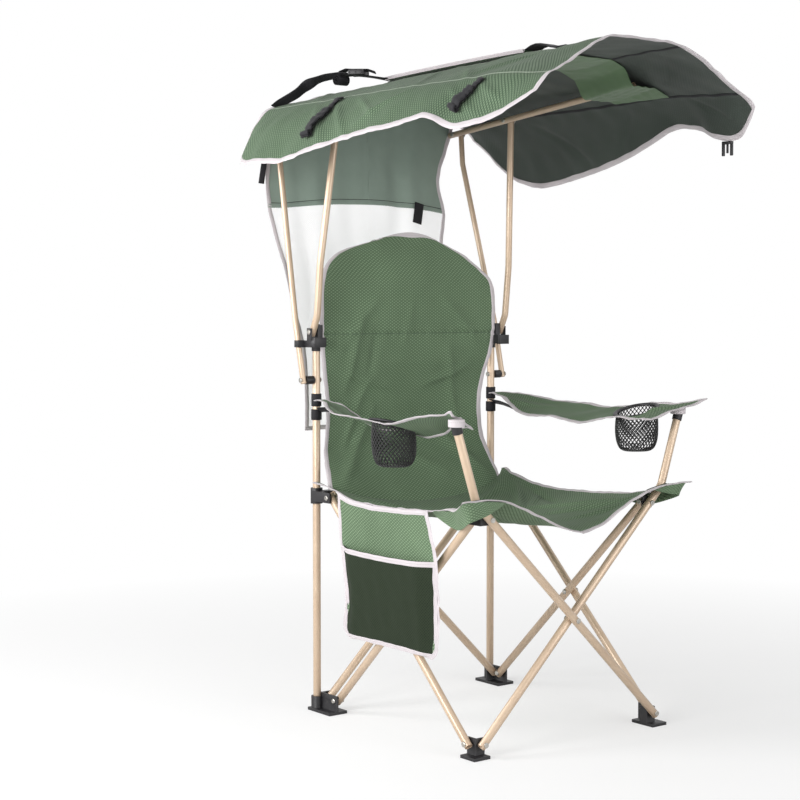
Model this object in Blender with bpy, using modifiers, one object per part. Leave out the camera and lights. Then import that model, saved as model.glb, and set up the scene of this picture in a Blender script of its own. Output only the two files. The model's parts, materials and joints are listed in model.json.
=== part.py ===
"""Folding beach chair with a sun canopy, at rest and ready to sit in.

Metres, +Z up. The sitter faces -Y, so the sitter's right is at -X. The frame is four scissors of
equal tubes, so the chair folds inwards both ways, and the canopy swings down behind the back.
"""

import math

import bmesh
import bpy
from mathutils import Matrix, Vector

# Clearances
GAP = 0.0003
BORE_SLACK = 0.0003
FOLD_GAP = 0.0010
CUT_OVERRUN = 0.0020

# Steel tube and wall sizes
TUBE_RADIUS = 0.0080
CANOPY_POST_RADIUS = 0.0070
STRUT_RADIUS = 0.0060
RAIL_RADIUS = 0.0065
TUBE_WALL = 0.0012
BEND_RADIUS = 0.0300

# Scissors: every cross tube is the same pin to pin, so all four fold by the same angle
CROSS_LENGTH = 0.6000
OPEN_RUN = 0.4300
LOW_PIN_Z = 0.0270
HIGH_PIN_Z = LOW_PIN_Z + math.sqrt(CROSS_LENGTH**2 - OPEN_RUN**2)
MID_PIN_Z = (LOW_PIN_Z + HIGH_PIN_Z) / 2
CROSS_ANGLE = math.acos(OPEN_RUN / CROSS_LENGTH)
TUBE_END = 0.0070
CROSS_PITCH = 2 * TUBE_RADIUS + FOLD_GAP

# Where the scissor planes and the posts stand. The scissors' middle is set back from the chair's
SCISSOR_SETBACK = 0.0140
FRONT_PIN_Y = SCISSOR_SETBACK - OPEN_RUN / 2
REAR_PIN_Y = FRONT_PIN_Y + OPEN_RUN
PIN_X = OPEN_RUN / 2
SIDE_TUBE_OUTSET = 0.0030
INNER_X = PIN_X + SIDE_TUBE_OUTSET
OUTER_X = INNER_X + CROSS_PITCH
POST_OUTSET = 0.0200
POST_X = PIN_X + POST_OUTSET
POST_SETBACK = 0.0530
POST_Y = REAR_PIN_Y + POST_SETBACK
POST_RISE = 0.3246
POST_TOP_Z = HIGH_PIN_Z + POST_RISE
CORNER_PLATE = 0.0035
END_REACH = TUBE_END * math.cos(CROSS_ANGLE) + TUBE_RADIUS * math.sin(CROSS_ANGLE)
FRONT_BACK_Y = FRONT_PIN_Y - END_REACH - CORNER_PLATE - TUBE_RADIUS - 2 * GAP
FRONT_FORE_Y = FRONT_BACK_Y - CROSS_PITCH
REAR_FORE_Y = REAR_PIN_Y + END_REACH + TUBE_RADIUS + 2 * GAP
REAR_BACK_Y = REAR_FORE_Y + CROSS_PITCH

# Arm posts: the front cross tubes run straight on past the hub, then bend up to the arm
ARM_BEND_OUTSET = 0.0330
ARM_BEND_X = PIN_X + ARM_BEND_OUTSET
ARM_BEND_Z = HIGH_PIN_Z + (ARM_BEND_X - PIN_X) * (HIGH_PIN_Z - LOW_PIN_Z) / OPEN_RUN
ARM_SPREAD = 0.0500
ARM_TOP_X = ARM_BEND_X + ARM_SPREAD
ARM_RISE = 0.1816
ARM_TOP_Z = HIGH_PIN_Z + ARM_RISE
ARM_CAP_WALL = 0.0015
ARM_CAP_LENGTH = 0.0220

# Moulded corners
PLATE = 0.0045
FOOT_BASE = 0.0060
FOOT_HEIGHT = 0.0300
LUG_REACH = 0.0105
SOCKET_WALL = 0.0042
SLIDER_HALF = 0.0160
HUB_HALF = 0.0115
CHAMFER = 0.0015

# Rivets
RIVET_RADIUS = 0.0025
RIVET_HEAD_RADIUS = 0.0047
RIVET_HEAD_HEIGHT = 0.0020

# Canopy linkage, pins given by their place in the side view
POST_PIN_LEAD = 0.0120
POST_PIN_Y = POST_Y - POST_PIN_LEAD
POST_PIN_RISE = 0.0110
POST_PIN_Z = POST_TOP_Z + POST_PIN_RISE
STRUT_PIN_DROP = 0.0870
STRUT_PIN_Z = POST_TOP_Z - STRUT_PIN_DROP
CANOPY_LEAD = 0.0720
FRONT_TOP_Y = POST_Y - CANOPY_LEAD
CANOPY_RISE = 0.4620
FRONT_TOP_Z = POST_TOP_Z + CANOPY_RISE
STRUT_LEAN = 0.1200
STRUT_TOP_Y = POST_Y + STRUT_LEAN
RAIL_RISE_SHARE = 0.0745
STRUT_TOP_Z = FRONT_TOP_Z - RAIL_RISE_SHARE * (STRUT_TOP_Y - FRONT_TOP_Y)
BRACKET_WALL = 0.0013
CANOPY_POST_X = POST_X + TUBE_RADIUS + BORE_SLACK + BRACKET_WALL + GAP + CANOPY_POST_RADIUS
CANOPY_POST_DRAW_IN = 0.0065
CANOPY_POST_TOP_X = POST_X - CANOPY_POST_DRAW_IN
CANOPY_POST_BEND_LEAD = 0.0280
CANOPY_POST_BEND_RISE = 0.0440
CANOPY_POST_BEND = Vector((0, POST_Y - CANOPY_POST_BEND_LEAD, POST_TOP_Z + CANOPY_POST_BEND_RISE))
CANOPY_POST_STRAIGHT_SHARE = 0.25
STRUT_OUTSET = 0.0157
STRUT_X = CANOPY_POST_X + STRUT_OUTSET
STRUT_TOP_OUTSET = 0.0130
STRUT_TOP_X = POST_X + STRUT_TOP_OUTSET
STRUT_STRAIGHT_RISE = 0.0300
STRUT_STRAIGHT_Z = POST_TOP_Z + STRUT_STRAIGHT_RISE
STRUT_BEND_DROP = 0.0650
STRUT_BEND_Z = STRUT_TOP_Z - STRUT_BEND_DROP
STRUT_BEND_BACK = 0.0055
LINK_END = 0.0065
RAIL_INSET = 0.0215
RAIL_X = POST_X - RAIL_INSET
RAIL_TOE_SHARE = 0.0825
RAIL_REACH = 0.4900
RAIL_FRONT_Y = POST_Y - RAIL_REACH
RAIL_REAR_END = 0.0180

# Canopy bracket on the post top, and the strut's open clip
BRACKET_GRIP = 0.0280
BRACKET_LOW_Z = POST_TOP_Z - BRACKET_GRIP
BRACKET_RISE = 0.0270
BRACKET_TOP_Z = POST_TOP_Z + BRACKET_RISE
BRACKET_CHEEK = 0.0016
CLIP_DROP = 0.0200
CLIP_LOW_Z = POST_TOP_Z - CLIP_DROP
CLIP_HEIGHT = 0.0140
CLIP_WALL = 0.0022
WEB_FRONT = 0.0195
WEB_DEPTH = 0.0080
SPACER_RADIUS = 0.0085

# Cloth
CLOTH = 0.0030
SEAT_OUTSET = 0.0330
SEAT_HALF_WIDTH = PIN_X + SEAT_OUTSET
SEAT_REAR_INSET = 0.0120
SEAT_SAG_START_SHARE = 0.35
SEAT_SAG = 0.0775
SEAT_EAR = 0.0480
SEAT_EAR_SHARE = 0.28
SEAT_FRONT_DIP = 0.0715
SEAT_FRONT_BULGE = 0.0220
HUB_FREE_SHARE = 1 - ((PIN_X - LUG_REACH) / SEAT_HALF_WIDTH) ** 2
SEAT_CORNER_Z = HIGH_PIN_Z + HUB_HALF + SEAT_FRONT_DIP * HUB_FREE_SHARE + CLOTH / 2
BACK_LOW_Z = SEAT_CORNER_Z + 2 * CLOTH
BACK_RISE = 0.2180
BACK_TOP_Z = POST_TOP_Z + BACK_RISE
BACK_INSET = 0.0048
BACK_HALF_WIDTH = POST_X - BACK_INSET
BACK_WAIST_SHARE = 0.11
BACK_FOOT_SHARE = 0.12
BACK_SAG = 0.0200
HEADREST_DROP = 0.0800
HEADREST_Z = POST_TOP_Z - HEADREST_DROP
ARM_WIDTH = 0.1050
ARM_OVERHANG = 0.0020
ARM_OUTER_X = ARM_TOP_X + ARM_OVERHANG
ARM_LEAD = 0.0300
ARM_FRONT_Y = FRONT_BACK_Y - ARM_LEAD
ARM_LIFT = 0.0140
ARM_OUTER_Z = ARM_TOP_Z + ARM_LIFT
ARM_SPREAD_SHARE = 0.28
ARM_INNER_DROP = 0.0320
ARM_SAG = 0.0260
STRAP_LIFT = 0.0150
STRAP_Z = ARM_TOP_Z + STRAP_LIFT
STRAP_HALF = 0.0130
STRAP_WALL = 0.0020
CUP_RADIUS = 0.0380
CUP_FOOT_SHARE = 0.88
CUP_DEPTH = 0.0850
CUP_WALL = 0.0016
CUP_RING_RADIUS = 0.0024
CUP_INSET = 0.0500
CUP_X = ARM_OUTER_X - CUP_INSET
CUP_RIGHT_SETBACK = 0.2030
CUP_RIGHT_Y = FRONT_PIN_Y + CUP_RIGHT_SETBACK
CUP_LEFT_SETBACK = 0.0480
CUP_LEFT_Y = FRONT_PIN_Y + CUP_LEFT_SETBACK
CUP_RIGHT_DROP = 0.0330
CUP_RIGHT_Z = ARM_OUTER_Z - CUP_RIGHT_DROP
CUP_LEFT_DROP = 0.0180
CUP_LEFT_Z = ARM_OUTER_Z - CUP_LEFT_DROP
PANEL_GAP = 0.0050
PANEL_X = OUTER_X + TUBE_RADIUS + PANEL_GAP
POCKET_DROP = 0.3073
POCKET_LOW_Z = SEAT_CORNER_Z - POCKET_DROP
POCKET_MOUTH_DROP = 0.1293
POCKET_MOUTH_Z = SEAT_CORNER_Z - POCKET_MOUTH_DROP
POCKET_FRONT_INSET = 0.0930
POCKET_FRONT_Y = FRONT_PIN_Y + POCKET_FRONT_INSET
POCKET_REAR_INSET = 0.0420
POCKET_REAR_Y = REAR_PIN_Y - POCKET_REAR_INSET
POCKET_BULGE = 0.0160
POCKET_CLOTH = 0.0020

# Canopy cover, as sections across from the right flap's hem to the left flap's hem
ROOF_SETBACK = 0.1450
ROOF_REAR_Y = POST_Y + ROOF_SETBACK
ROOF_LEAD = 0.2150
ROOF_FRONT_Y = RAIL_FRONT_Y - ROOF_LEAD
ROOF_SEAM_OUTSET = 0.0210
ROOF_SEAM_X = POST_X + ROOF_SEAM_OUTSET
ROOF_RIDGE_X = 0.0900
ROOF_SEAM_RISE = 0.0110
ROOF_SEAM_Z = FRONT_TOP_Z + ROOF_SEAM_RISE
ROOF_PITCH_SHARE = 0.03
ROOF_FRONT_RISE = ROOF_PITCH_SHARE * (ROOF_REAR_Y - ROOF_FRONT_Y)
RIDGE_SHARE = 0.2
SEAM_SHARE = 0.6

# The roof's ridge stands high enough for its slopes to clear the front ends of the rails
RAIL_FRONT_X = RAIL_X - RAIL_TOE_SHARE * (FRONT_TOP_Y - RAIL_FRONT_Y)
RAIL_FRONT_Z = FRONT_TOP_Z + RAIL_RISE_SHARE * (FRONT_TOP_Y - RAIL_FRONT_Y)
RAIL_SLOPE_SHARE = (ROOF_SEAM_X - RAIL_FRONT_X) / (ROOF_SEAM_X - ROOF_RIDGE_X)
ROOF_CLEARANCE = 0.0009
ROOF_RIDGE_RISE = (
    (RAIL_FRONT_Z + RAIL_RADIUS + CLOTH / 2 + ROOF_CLEARANCE - ROOF_SEAM_Z) / RAIL_SLOPE_SHARE
    - ROOF_PITCH_SHARE * (ROOF_REAR_Y - RAIL_FRONT_Y)
)

# The band that takes the rails' front ends, and the flap behind the sitter
BAND_INSET = 0.0200
BAND_DROP = 0.0006
BAND_FLAT = 0.0270
BAND_SPREAD = 0.0300
BAND_COVER = 0.1200
POCKET_BAND_REAR_Y = RAIL_FRONT_Y + BAND_COVER
BAND_OVERREACH = 0.0220
POCKET_BAND_FRONT_Y = RAIL_FRONT_Y - BAND_OVERREACH
REAR_FLAP_SEAM_DROP = 0.0100
REAR_FLAP_TOP_Z = ROOF_SEAM_Z - REAR_FLAP_SEAM_DROP
REAR_FLAP_CLOTH_DROP = 0.1980
REAR_FLAP_SPLIT_Z = REAR_FLAP_TOP_Z - REAR_FLAP_CLOTH_DROP
REAR_FLAP_DROP = 0.6630
REAR_FLAP_LOW_Z = REAR_FLAP_TOP_Z - REAR_FLAP_DROP
REAR_FLAP_TOP_INSET = 0.0130
REAR_FLAP_TOP_X = ROOF_SEAM_X - REAR_FLAP_TOP_INSET
REAR_FLAP_LOW_INSET = 0.0610
REAR_FLAP_LOW_X = ROOF_SEAM_X - REAR_FLAP_LOW_INSET
REAR_FLAP_Y = ROOF_REAR_Y - CLOTH
REAR_FLAP_LEAN = 0.0150

# Straps on the canopy
STRAP_X = 0.0550
STRAP_PAD_HALF = 0.0340
STRAP_WEB_HALF = 0.0190
STRAP_THICK = 0.0050
STRAP_FROM_SHARE = 0.03
STRAP_TO_SHARE = 0.88
STRAP_PAD_FROM_SHARE = 0.35
STRAP_PAD_TO_SHARE = 0.85
HEM_STRAP_WIDTH = 0.0250
HEM_STRAP_THICK = 0.0040
HEM_STRAP_TOP_SHARE = 0.05
HEM_STRAP_RUN_SHARE = 0.75
HEM_STRAP_PLACE_SHARES = (0.27, 0.78)
FLAP_LEAN = math.radians(45)
HUNG_BUCKLE_SHARE = 0.94
HUNG_BUCKLE_LENGTH = 0.0300

# Faces round each section
TUBE_SIDES = 12
PIN_SIDES = 8
SOCKET_SIDES = 16
BEND_STEP = math.radians(12)
CREASE = math.radians(35)

# The flap hem: how far along the roof from its rear, how far it flares out, how far it hangs
FLAP_HEM_SHARES = (
    (0.00, 0.30, 0.25),
    (0.03, 0.65, 0.55),
    (0.09, 0.96, 0.88),
    (0.19, 1.00, 1.00),
    (0.31, 0.95, 0.98),
    (0.45, 0.80, 0.86),
    (0.58, 0.68, 0.66),
    (0.71, 0.58, 0.50),
    (0.82, 0.60, 0.46),
    (0.91, 0.62, 0.62),
    (0.97, 0.54, 0.64),
    (1.00, 0.44, 0.50),
)
FLAP_FLARE = 0.1180
FLAP_DROP = 0.1350

# Headrest outline: how far up from its foot, how wide
HEADREST_SHARES = (
    (0.00, 1.00),
    (0.54, 1.00),
    (0.64, 0.98),
    (0.72, 0.91),
    (0.84, 0.70),
    (0.94, 0.45),
    (1.00, 0.08),
)

SIDES = ((-1, "right"), (1, "left"))

COLOURS = {
    "steel": ((0.66, 0.52, 0.33), 0.35, 0.55),
    "plastic": ((0.012, 0.011, 0.013), 0.45, 0.0),
    "rivet": ((0.60, 0.60, 0.60), 0.30, 1.0),
    "cloth": ((0.075, 0.185, 0.070), 0.85, 0.0),
    "lining": ((0.045, 0.070, 0.055), 0.90, 0.0),
    "mesh": ((0.80, 0.80, 0.84), 0.80, 0.0),
    "net": ((0.020, 0.020, 0.022), 0.80, 0.0),
    "webbing": ((0.010, 0.009, 0.011), 0.80, 0.0),
}


def clear_scene():
    """Start from nothing."""
    for item in list(bpy.data.objects):
        bpy.data.objects.remove(item, do_unlink=True)


def collection(name):
    """A collection under the scene's own."""
    made = bpy.data.collections.new(name)
    bpy.context.scene.collection.children.link(made)
    return made


def material(name, kind):
    """A plain finish in one of the chair's colours."""
    colour, roughness, metallic = COLOURS[kind]
    made = bpy.data.materials.new(name)
    made.use_nodes = True
    shader = made.node_tree.nodes["Principled BSDF"]
    shader.inputs["Base Color"].default_value = (*colour, 1.0)
    shader.inputs["Roughness"].default_value = roughness
    shader.inputs["Metallic"].default_value = metallic
    return made


clear_scene()
PARTS = collection("canopy_beach_chair")
CUTTERS = collection("cutters")


def pivot(name, point, parent=None):
    """An empty on a joint's axis, hung from the body that carries it."""
    empty = bpy.data.objects.new(name, None)
    empty.empty_display_size = TUBE_RADIUS
    PARTS.objects.link(empty)
    point = Vector(point)
    empty["place"] = tuple(point)
    empty.parent = parent
    empty.location = point - Vector(parent["place"]) if parent else point
    return empty


def mesh_object(name, mesh_data):
    """A loose object holding one mesh."""
    return bpy.data.objects.new(name, mesh_data)


def part(made, kind, body):
    """Make an object one of the chair's parts: finish, collection and the pivot it hangs from."""
    made.data.materials.clear()
    made.data.materials.append(material(made.name, kind))
    made.data.shade_smooth()
    made.data.set_sharp_from_angle(angle=CREASE)
    PARTS.objects.link(made)
    made.data.transform(Matrix.Translation(-Vector(body["place"])))
    made.parent = body
    return made


def helper(made):
    """Keep a shape that only cuts or joins others."""
    CUTTERS.objects.link(made)
    made.hide_render = True
    made.display_type = "WIRE"
    return made


def from_bmesh(name, bm):
    """An object from a finished bmesh."""
    mesh_data = bpy.data.meshes.new(name)
    bm.to_mesh(mesh_data)
    bm.free()
    return mesh_object(name, mesh_data)


def solidified(name, made):
    """The object's evaluated mesh as a new plain object, with the old one removed."""
    bpy.context.scene.collection.objects.link(made)
    bpy.context.view_layer.update()
    seen = made.evaluated_get(bpy.context.evaluated_depsgraph_get())
    mesh_data = bpy.data.meshes.new_from_object(seen)
    mesh_data.transform(made.matrix_world)
    bpy.data.objects.remove(made, do_unlink=True)
    return mesh_object(name, mesh_data)


def boolean(target, tool, operation, solver="EXACT"):
    """Cut or join a tool, which goes with the helpers."""
    helper(tool)
    step = target.modifiers.new(operation.lower(), "BOOLEAN")
    step.operation = operation
    step.object = tool
    step.solver = solver
    return target


def baked(made):
    """Apply an object's modifiers now, so that it can be cut or joined again."""
    name = made.name
    made.name = name + "_draft"
    return solidified(name, made)


def axis_turn(start, end):
    """The rotation that lays +Z along a line."""
    return (Vector(end) - Vector(start)).to_track_quat("Z", "Y").to_matrix().to_4x4()


def rod(name, start, end, radius, sides=TUBE_SIDES):
    """A solid round bar between two points."""
    start, end = Vector(start), Vector(end)
    bm = bmesh.new()
    bmesh.ops.create_cone(
        bm,
        cap_ends=True,
        segments=sides,
        radius1=radius,
        radius2=radius,
        depth=(end - start).length,
        matrix=Matrix.Translation((start + end) / 2) @ axis_turn(start, end),
    )
    return from_bmesh(name, bm)


def block(name, low, high):
    """A box between two corners."""
    low, high = Vector(low), Vector(high)
    bm = bmesh.new()
    bmesh.ops.create_cube(bm, size=1.0)
    bmesh.ops.scale(bm, vec=high - low, verts=bm.verts)
    bmesh.ops.translate(bm, vec=(low + high) / 2, verts=bm.verts)
    return from_bmesh(name, bm)


def side_block(name, side, inner, outer, y_range, z_range):
    """A box given by its distances from the middle plane, on one side of the chair."""
    near, far = sorted((side * inner, side * outer))
    return block(name, (near, y_range[0], z_range[0]), (far, y_range[1], z_range[1]))


def joined(name, pieces):
    """One solid from several that overlap."""
    whole = pieces[0]
    whole.name = name
    for piece in pieces[1:]:
        boolean(whole, piece, "UNION")
    return baked(whole)


def drilled(made, holes):
    """Cut pin holes, each given as (start, end, radius)."""
    for number, (start, end, radius) in enumerate(holes):
        start, end = Vector(start), Vector(end)
        over = (end - start).normalized() * CUT_OVERRUN
        cutter = rod(f"{made.name}_hole_{number}", start - over, end + over, radius, PIN_SIDES)
        boolean(made, cutter, "DIFFERENCE", "MANIFOLD")
    return made


def bend_path(points, radius):
    """A run of points with each inner corner turned into an arc of the bend's radius."""
    points = [Vector(p) for p in points]
    path = [points[0]]
    for before, corner, after in zip(points, points[1:], points[2:]):
        back = (before - corner).normalized()
        on = (after - corner).normalized()
        turn = math.pi - back.angle(on)
        reach = radius * math.tan(turn / 2)
        steps = max(1, round(turn / BEND_STEP))
        for step in range(steps + 1):
            share = step / steps
            start, end = corner + back * reach, corner + on * reach
            path.append(start.lerp(corner, share).lerp(corner.lerp(end, share), share))
    path.append(points[-1])
    return path


def wire(name, path, radius):
    """A capped round bar along a path, as a welded mesh."""
    curve = bpy.data.curves.new(name, "CURVE")
    curve.dimensions = "3D"
    curve.bevel_depth = radius
    curve.bevel_resolution = TUBE_SIDES // 2 - 2
    curve.use_fill_caps = True
    spline = curve.splines.new("POLY")
    spline.points.add(len(path) - 1)
    for point, place in zip(spline.points, path):
        point.co = (*place, 1.0)
    made = solidified(name, bpy.data.objects.new(name, curve))
    bm = bmesh.new()
    bm.from_mesh(made.data)
    bmesh.ops.remove_doubles(bm, verts=bm.verts, dist=GAP / 10)
    bmesh.ops.recalc_face_normals(bm, faces=bm.faces)
    bm.to_mesh(made.data)
    bm.free()
    return made


def tube(name, points, radius):
    """A hollow steel tube along straight runs and bends."""
    path = bend_path(points, BEND_RADIUS)
    outer = wire(name, path, radius)
    first = (path[0] - path[1]).normalized() * CUT_OVERRUN
    last = (path[-1] - path[-2]).normalized() * CUT_OVERRUN
    inner = wire(name + "_bore", [path[0] + first, *path[1:-1], path[-1] + last], radius - TUBE_WALL)
    return boolean(outer, inner, "DIFFERENCE")


def rivet(name, start, end, heads=(True, True)):
    """A shank between two faces, with a domed head outside either of them."""
    start, end = Vector(start), Vector(end)
    length = (end - start).length
    dome_shares = ((1.00, 0.00), (0.70, 0.70), (0.00, 1.00))
    profile = []
    for top, has_head in ((True, heads[1]), (False, heads[0])):
        level = length + GAP if top else -GAP
        way = 1 if top else -1
        if has_head:
            dome = [(RIVET_HEAD_RADIUS * r, level + way * RIVET_HEAD_HEIGHT * h) for r, h in dome_shares]
            dome.insert(0, (RIVET_RADIUS, level))
        else:
            flush = length - GAP if top else GAP
            dome = [(RIVET_RADIUS, flush), (0.0, flush)]
        profile += reversed(dome) if top else dome
    bm = bmesh.new()
    ring = [bm.verts.new((r, 0, z)) for r, z in profile]
    edges = [bm.edges.new(pair) for pair in zip(ring, ring[1:])]
    bmesh.ops.spin(
        bm,
        geom=ring + edges,
        cent=(0, 0, 0),
        axis=(0, 0, 1),
        angle=math.tau,
        steps=PIN_SIDES,
        use_duplicate=False,
    )
    bmesh.ops.remove_doubles(bm, verts=bm.verts, dist=GAP / 10)
    bmesh.ops.recalc_face_normals(bm, faces=bm.faces)
    bmesh.ops.transform(bm, matrix=Matrix.Translation(start) @ axis_turn(start, end), verts=bm.verts)
    return from_bmesh(name, bm)


def cloth(name, across, along, shape, thickness, smooth=1):
    """A sheet mapped by shape(u, v), thickened both ways and rounded."""
    bm = bmesh.new()
    bmesh.ops.create_grid(bm, x_segments=across, y_segments=along, size=0.5)
    for vert in bm.verts:
        vert.co = Vector(shape(vert.co.x + 0.5, vert.co.y + 0.5))
    made = from_bmesh(name, bm)
    skin = made.modifiers.new("thickness", "SOLIDIFY")
    skin.thickness = thickness
    skin.offset = 0.0
    if smooth:
        rounding = made.modifiers.new("rounding", "SUBSURF")
        rounding.subdivision_type = "SIMPLE"
        rounding.levels = smooth
        rounding.render_levels = smooth
    return baked(made)


def between(table, share):
    """Read a table of shares at one place, eased between its rows."""
    for low, high in zip(table, table[1:]):
        if share <= high[0]:
            part_way = (share - low[0]) / (high[0] - low[0])
            eased = part_way * part_way * (3 - 2 * part_way)
            return [a + (b - a) * eased for a, b in zip(low[1:], high[1:])]
    return list(table[-1][1:])


def mirrored(side, x, y, z):
    """A point at a distance from the middle plane, on one side of the chair."""
    return Vector((side * x, y, z))


def pin_hole(side, inner, outer, y, z):
    """A pin bore along X."""
    return mirrored(side, inner, y, z), mirrored(side, outer, y, z), RIVET_RADIUS + BORE_SLACK


def cross_hole(x, front, back, z):
    """A pin bore along Y."""
    return (x, front, z), (x, back, z), RIVET_RADIUS + BORE_SLACK


def side_cross_tube(name, side, x, low_y, high_y, body):
    """One tube of a side scissor, from its low pin to its high pin."""
    low, high = mirrored(side, x, low_y, LOW_PIN_Z), mirrored(side, x, high_y, HIGH_PIN_Z)
    over = (high - low).normalized() * TUBE_END
    made = tube(name, [low - over, high + over], TUBE_RADIUS)
    faces = (x - TUBE_RADIUS, x + TUBE_RADIUS)
    middle = (low_y + high_y) / 2
    spots = ((low_y, LOW_PIN_Z), (middle, MID_PIN_Z), (high_y, HIGH_PIN_Z))
    return part(drilled(made, [pin_hole(side, *faces, y, z) for y, z in spots]), "steel", body)


def rear_cross_tube(name, low_side, y, body):
    """One tube of the rear scissor, from the foot on low_side to the slider on the other side."""
    low, high = mirrored(low_side, PIN_X, y, LOW_PIN_Z), mirrored(-low_side, PIN_X, y, HIGH_PIN_Z)
    over = (high - low).normalized() * TUBE_END
    made = tube(name, [low - over, high + over], TUBE_RADIUS)
    return part(drilled(made, cross_tube_holes(low_side, y)), "steel", body)


def cross_tube_holes(low_side, y):
    """The three pin bores of a tube that crosses in a plane along X."""
    faces = (y - TUBE_RADIUS, y + TUBE_RADIUS)
    spots = ((low_side * PIN_X, LOW_PIN_Z), (0.0, MID_PIN_Z), (-low_side * PIN_X, HIGH_PIN_Z))
    return [cross_hole(x, *faces, z) for x, z in spots]


def front_cross_tube(name, low_side, y, body):
    """A front tube, from a front foot across to the other hub, then out and up to the arm."""
    low, hub = mirrored(low_side, PIN_X, y, LOW_PIN_Z), mirrored(-low_side, PIN_X, y, HIGH_PIN_Z)
    over = (hub - low).normalized() * TUBE_END
    bend = mirrored(-low_side, ARM_BEND_X, y, ARM_BEND_Z)
    top = mirrored(-low_side, ARM_TOP_X, y, ARM_TOP_Z)
    made = tube(name, [low - over, bend, top], TUBE_RADIUS)
    return part(drilled(made, cross_tube_holes(low_side, y)), "steel", body)


def arm_cap(name, side, y, body):
    """The plastic cap on an arm post's open end."""
    bend, top = mirrored(side, ARM_BEND_X, y, ARM_BEND_Z), mirrored(side, ARM_TOP_X, y, ARM_TOP_Z)
    up = (top - bend).normalized()
    sleeve = TUBE_RADIUS + GAP + ARM_CAP_WALL
    made = rod(name, top - up * ARM_CAP_LENGTH, top + up * (ARM_CAP_WALL + GAP), sleeve)
    inside = rod(
        name + "_bore",
        top - up * (ARM_CAP_LENGTH + CUT_OVERRUN),
        top + up * GAP,
        TUBE_RADIUS + GAP,
    )
    return part(boolean(made, inside, "DIFFERENCE"), "plastic", body)


def side_rivet(name, side, inner, outer, y, z, heads=(True, True)):
    """A rivet along X whose first head faces the middle of the chair."""
    return rivet(name, mirrored(side, inner, y, z), mirrored(side, outer, y, z), heads)


def rear_pin(name, x, lug_y, z):
    """A corner's pin along Y. Beside a side tube's end it has no head."""
    tube_front = lug_y[0] - GAP - 2 * TUBE_RADIUS
    clear_of_side_tube = tube_front > REAR_BACK_Y - CROSS_PITCH
    return rivet(name, (x, tube_front, z), (x, lug_y[1], z), (clear_of_side_tube, True))


def front_pin(name, x, tube_y, lug_back, z):
    """A front corner's pin, headed in front of its tube and flush behind its lug."""
    return rivet(name, (x, tube_y - TUBE_RADIUS, z), (x, lug_back, z), (True, False))


def add_pins(made, pins):
    """Pins moulded or pressed into the piece that carries them."""
    for pin in pins:
        boolean(made, pin, "UNION")
    return made


def rear_foot(name, side, lug_y, body):
    """A rear foot: base, post socket and the lugs of a side tube and a rear tube."""
    lug_inner = PIN_X - LUG_REACH
    plate_x = (INNER_X + TUBE_RADIUS + GAP, INNER_X + TUBE_RADIUS + GAP + PLATE)
    socket = TUBE_RADIUS + BORE_SLACK + SOCKET_WALL
    top = LOW_PIN_Z + LUG_REACH
    pieces = [
        side_block(
            name,
            side,
            lug_inner,
            POST_X + socket + CHAMFER,
            (REAR_PIN_Y - LUG_REACH, POST_Y + socket + CHAMFER),
            (0.0, FOOT_BASE),
        ),
        rod(name + "_socket", (side * POST_X, POST_Y, CHAMFER), (side * POST_X, POST_Y, FOOT_HEIGHT),
            socket, SOCKET_SIDES),
        side_block(name + "_side_lug", side, *plate_x, (REAR_PIN_Y - LUG_REACH, POST_Y), (CHAMFER, top)),
        side_block(name + "_rear_lug", side, lug_inner, plate_x[1], lug_y, (CHAMFER, top)),
    ]
    made = joined(name, pieces)
    bore = rod(
        name + "_bore",
        (side * POST_X, POST_Y, FOOT_BASE),
        (side * POST_X, POST_Y, top + CUT_OVERRUN),
        TUBE_RADIUS + BORE_SLACK,
        SOCKET_SIDES,
    )
    boolean(made, bore, "DIFFERENCE")
    add_pins(made, [
        side_rivet(name + "_side_pin", side, INNER_X - TUBE_RADIUS, plate_x[1], REAR_PIN_Y, LOW_PIN_Z),
        rear_pin(name + "_rear_pin", side * PIN_X, lug_y, LOW_PIN_Z),
    ])
    return part(made, "plastic", body)


def slider(name, side, lug_y, body):
    """A slider that runs up the back post and holds the top ends of a side and a rear tube."""
    low, high = HIGH_PIN_Z - SLIDER_HALF, HIGH_PIN_Z + SLIDER_HALF
    lug = (HIGH_PIN_Z - LUG_REACH, HIGH_PIN_Z + LUG_REACH)
    plate_x = (OUTER_X + TUBE_RADIUS + GAP, OUTER_X + TUBE_RADIUS + GAP + PLATE)
    sleeve = TUBE_RADIUS + BORE_SLACK + SOCKET_WALL
    pieces = [
        rod(name, (side * POST_X, POST_Y, low), (side * POST_X, POST_Y, high), sleeve, SOCKET_SIDES),
        side_block(name + "_side_lug", side, *plate_x, (REAR_PIN_Y - LUG_REACH, POST_Y), lug),
        side_block(name + "_rear_lug", side, PIN_X - LUG_REACH, POST_X, (lug_y[0], POST_Y), lug),
    ]
    made = joined(name, pieces)
    bore = rod(
        name + "_bore",
        (side * POST_X, POST_Y, low - CUT_OVERRUN),
        (side * POST_X, POST_Y, high + CUT_OVERRUN),
        TUBE_RADIUS + BORE_SLACK,
        SOCKET_SIDES,
    )
    boolean(made, bore, "DIFFERENCE")
    add_pins(made, [
        side_rivet(name + "_side_pin", side, OUTER_X - TUBE_RADIUS, plate_x[1], REAR_PIN_Y, HIGH_PIN_Z),
        rear_pin(name + "_rear_pin", side * PIN_X, (lug_y[0], POST_Y), HIGH_PIN_Z),
    ])
    return part(made, "plastic", body)


def lug_rows():
    """Where each rear corner's lug meets its tube: in front of the back tube, behind the fore one."""
    behind = REAR_BACK_Y + TUBE_RADIUS + GAP
    amid = REAR_FORE_Y + TUBE_RADIUS + GAP
    return (behind, behind + PLATE), (amid, amid + PLATE)


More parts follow.
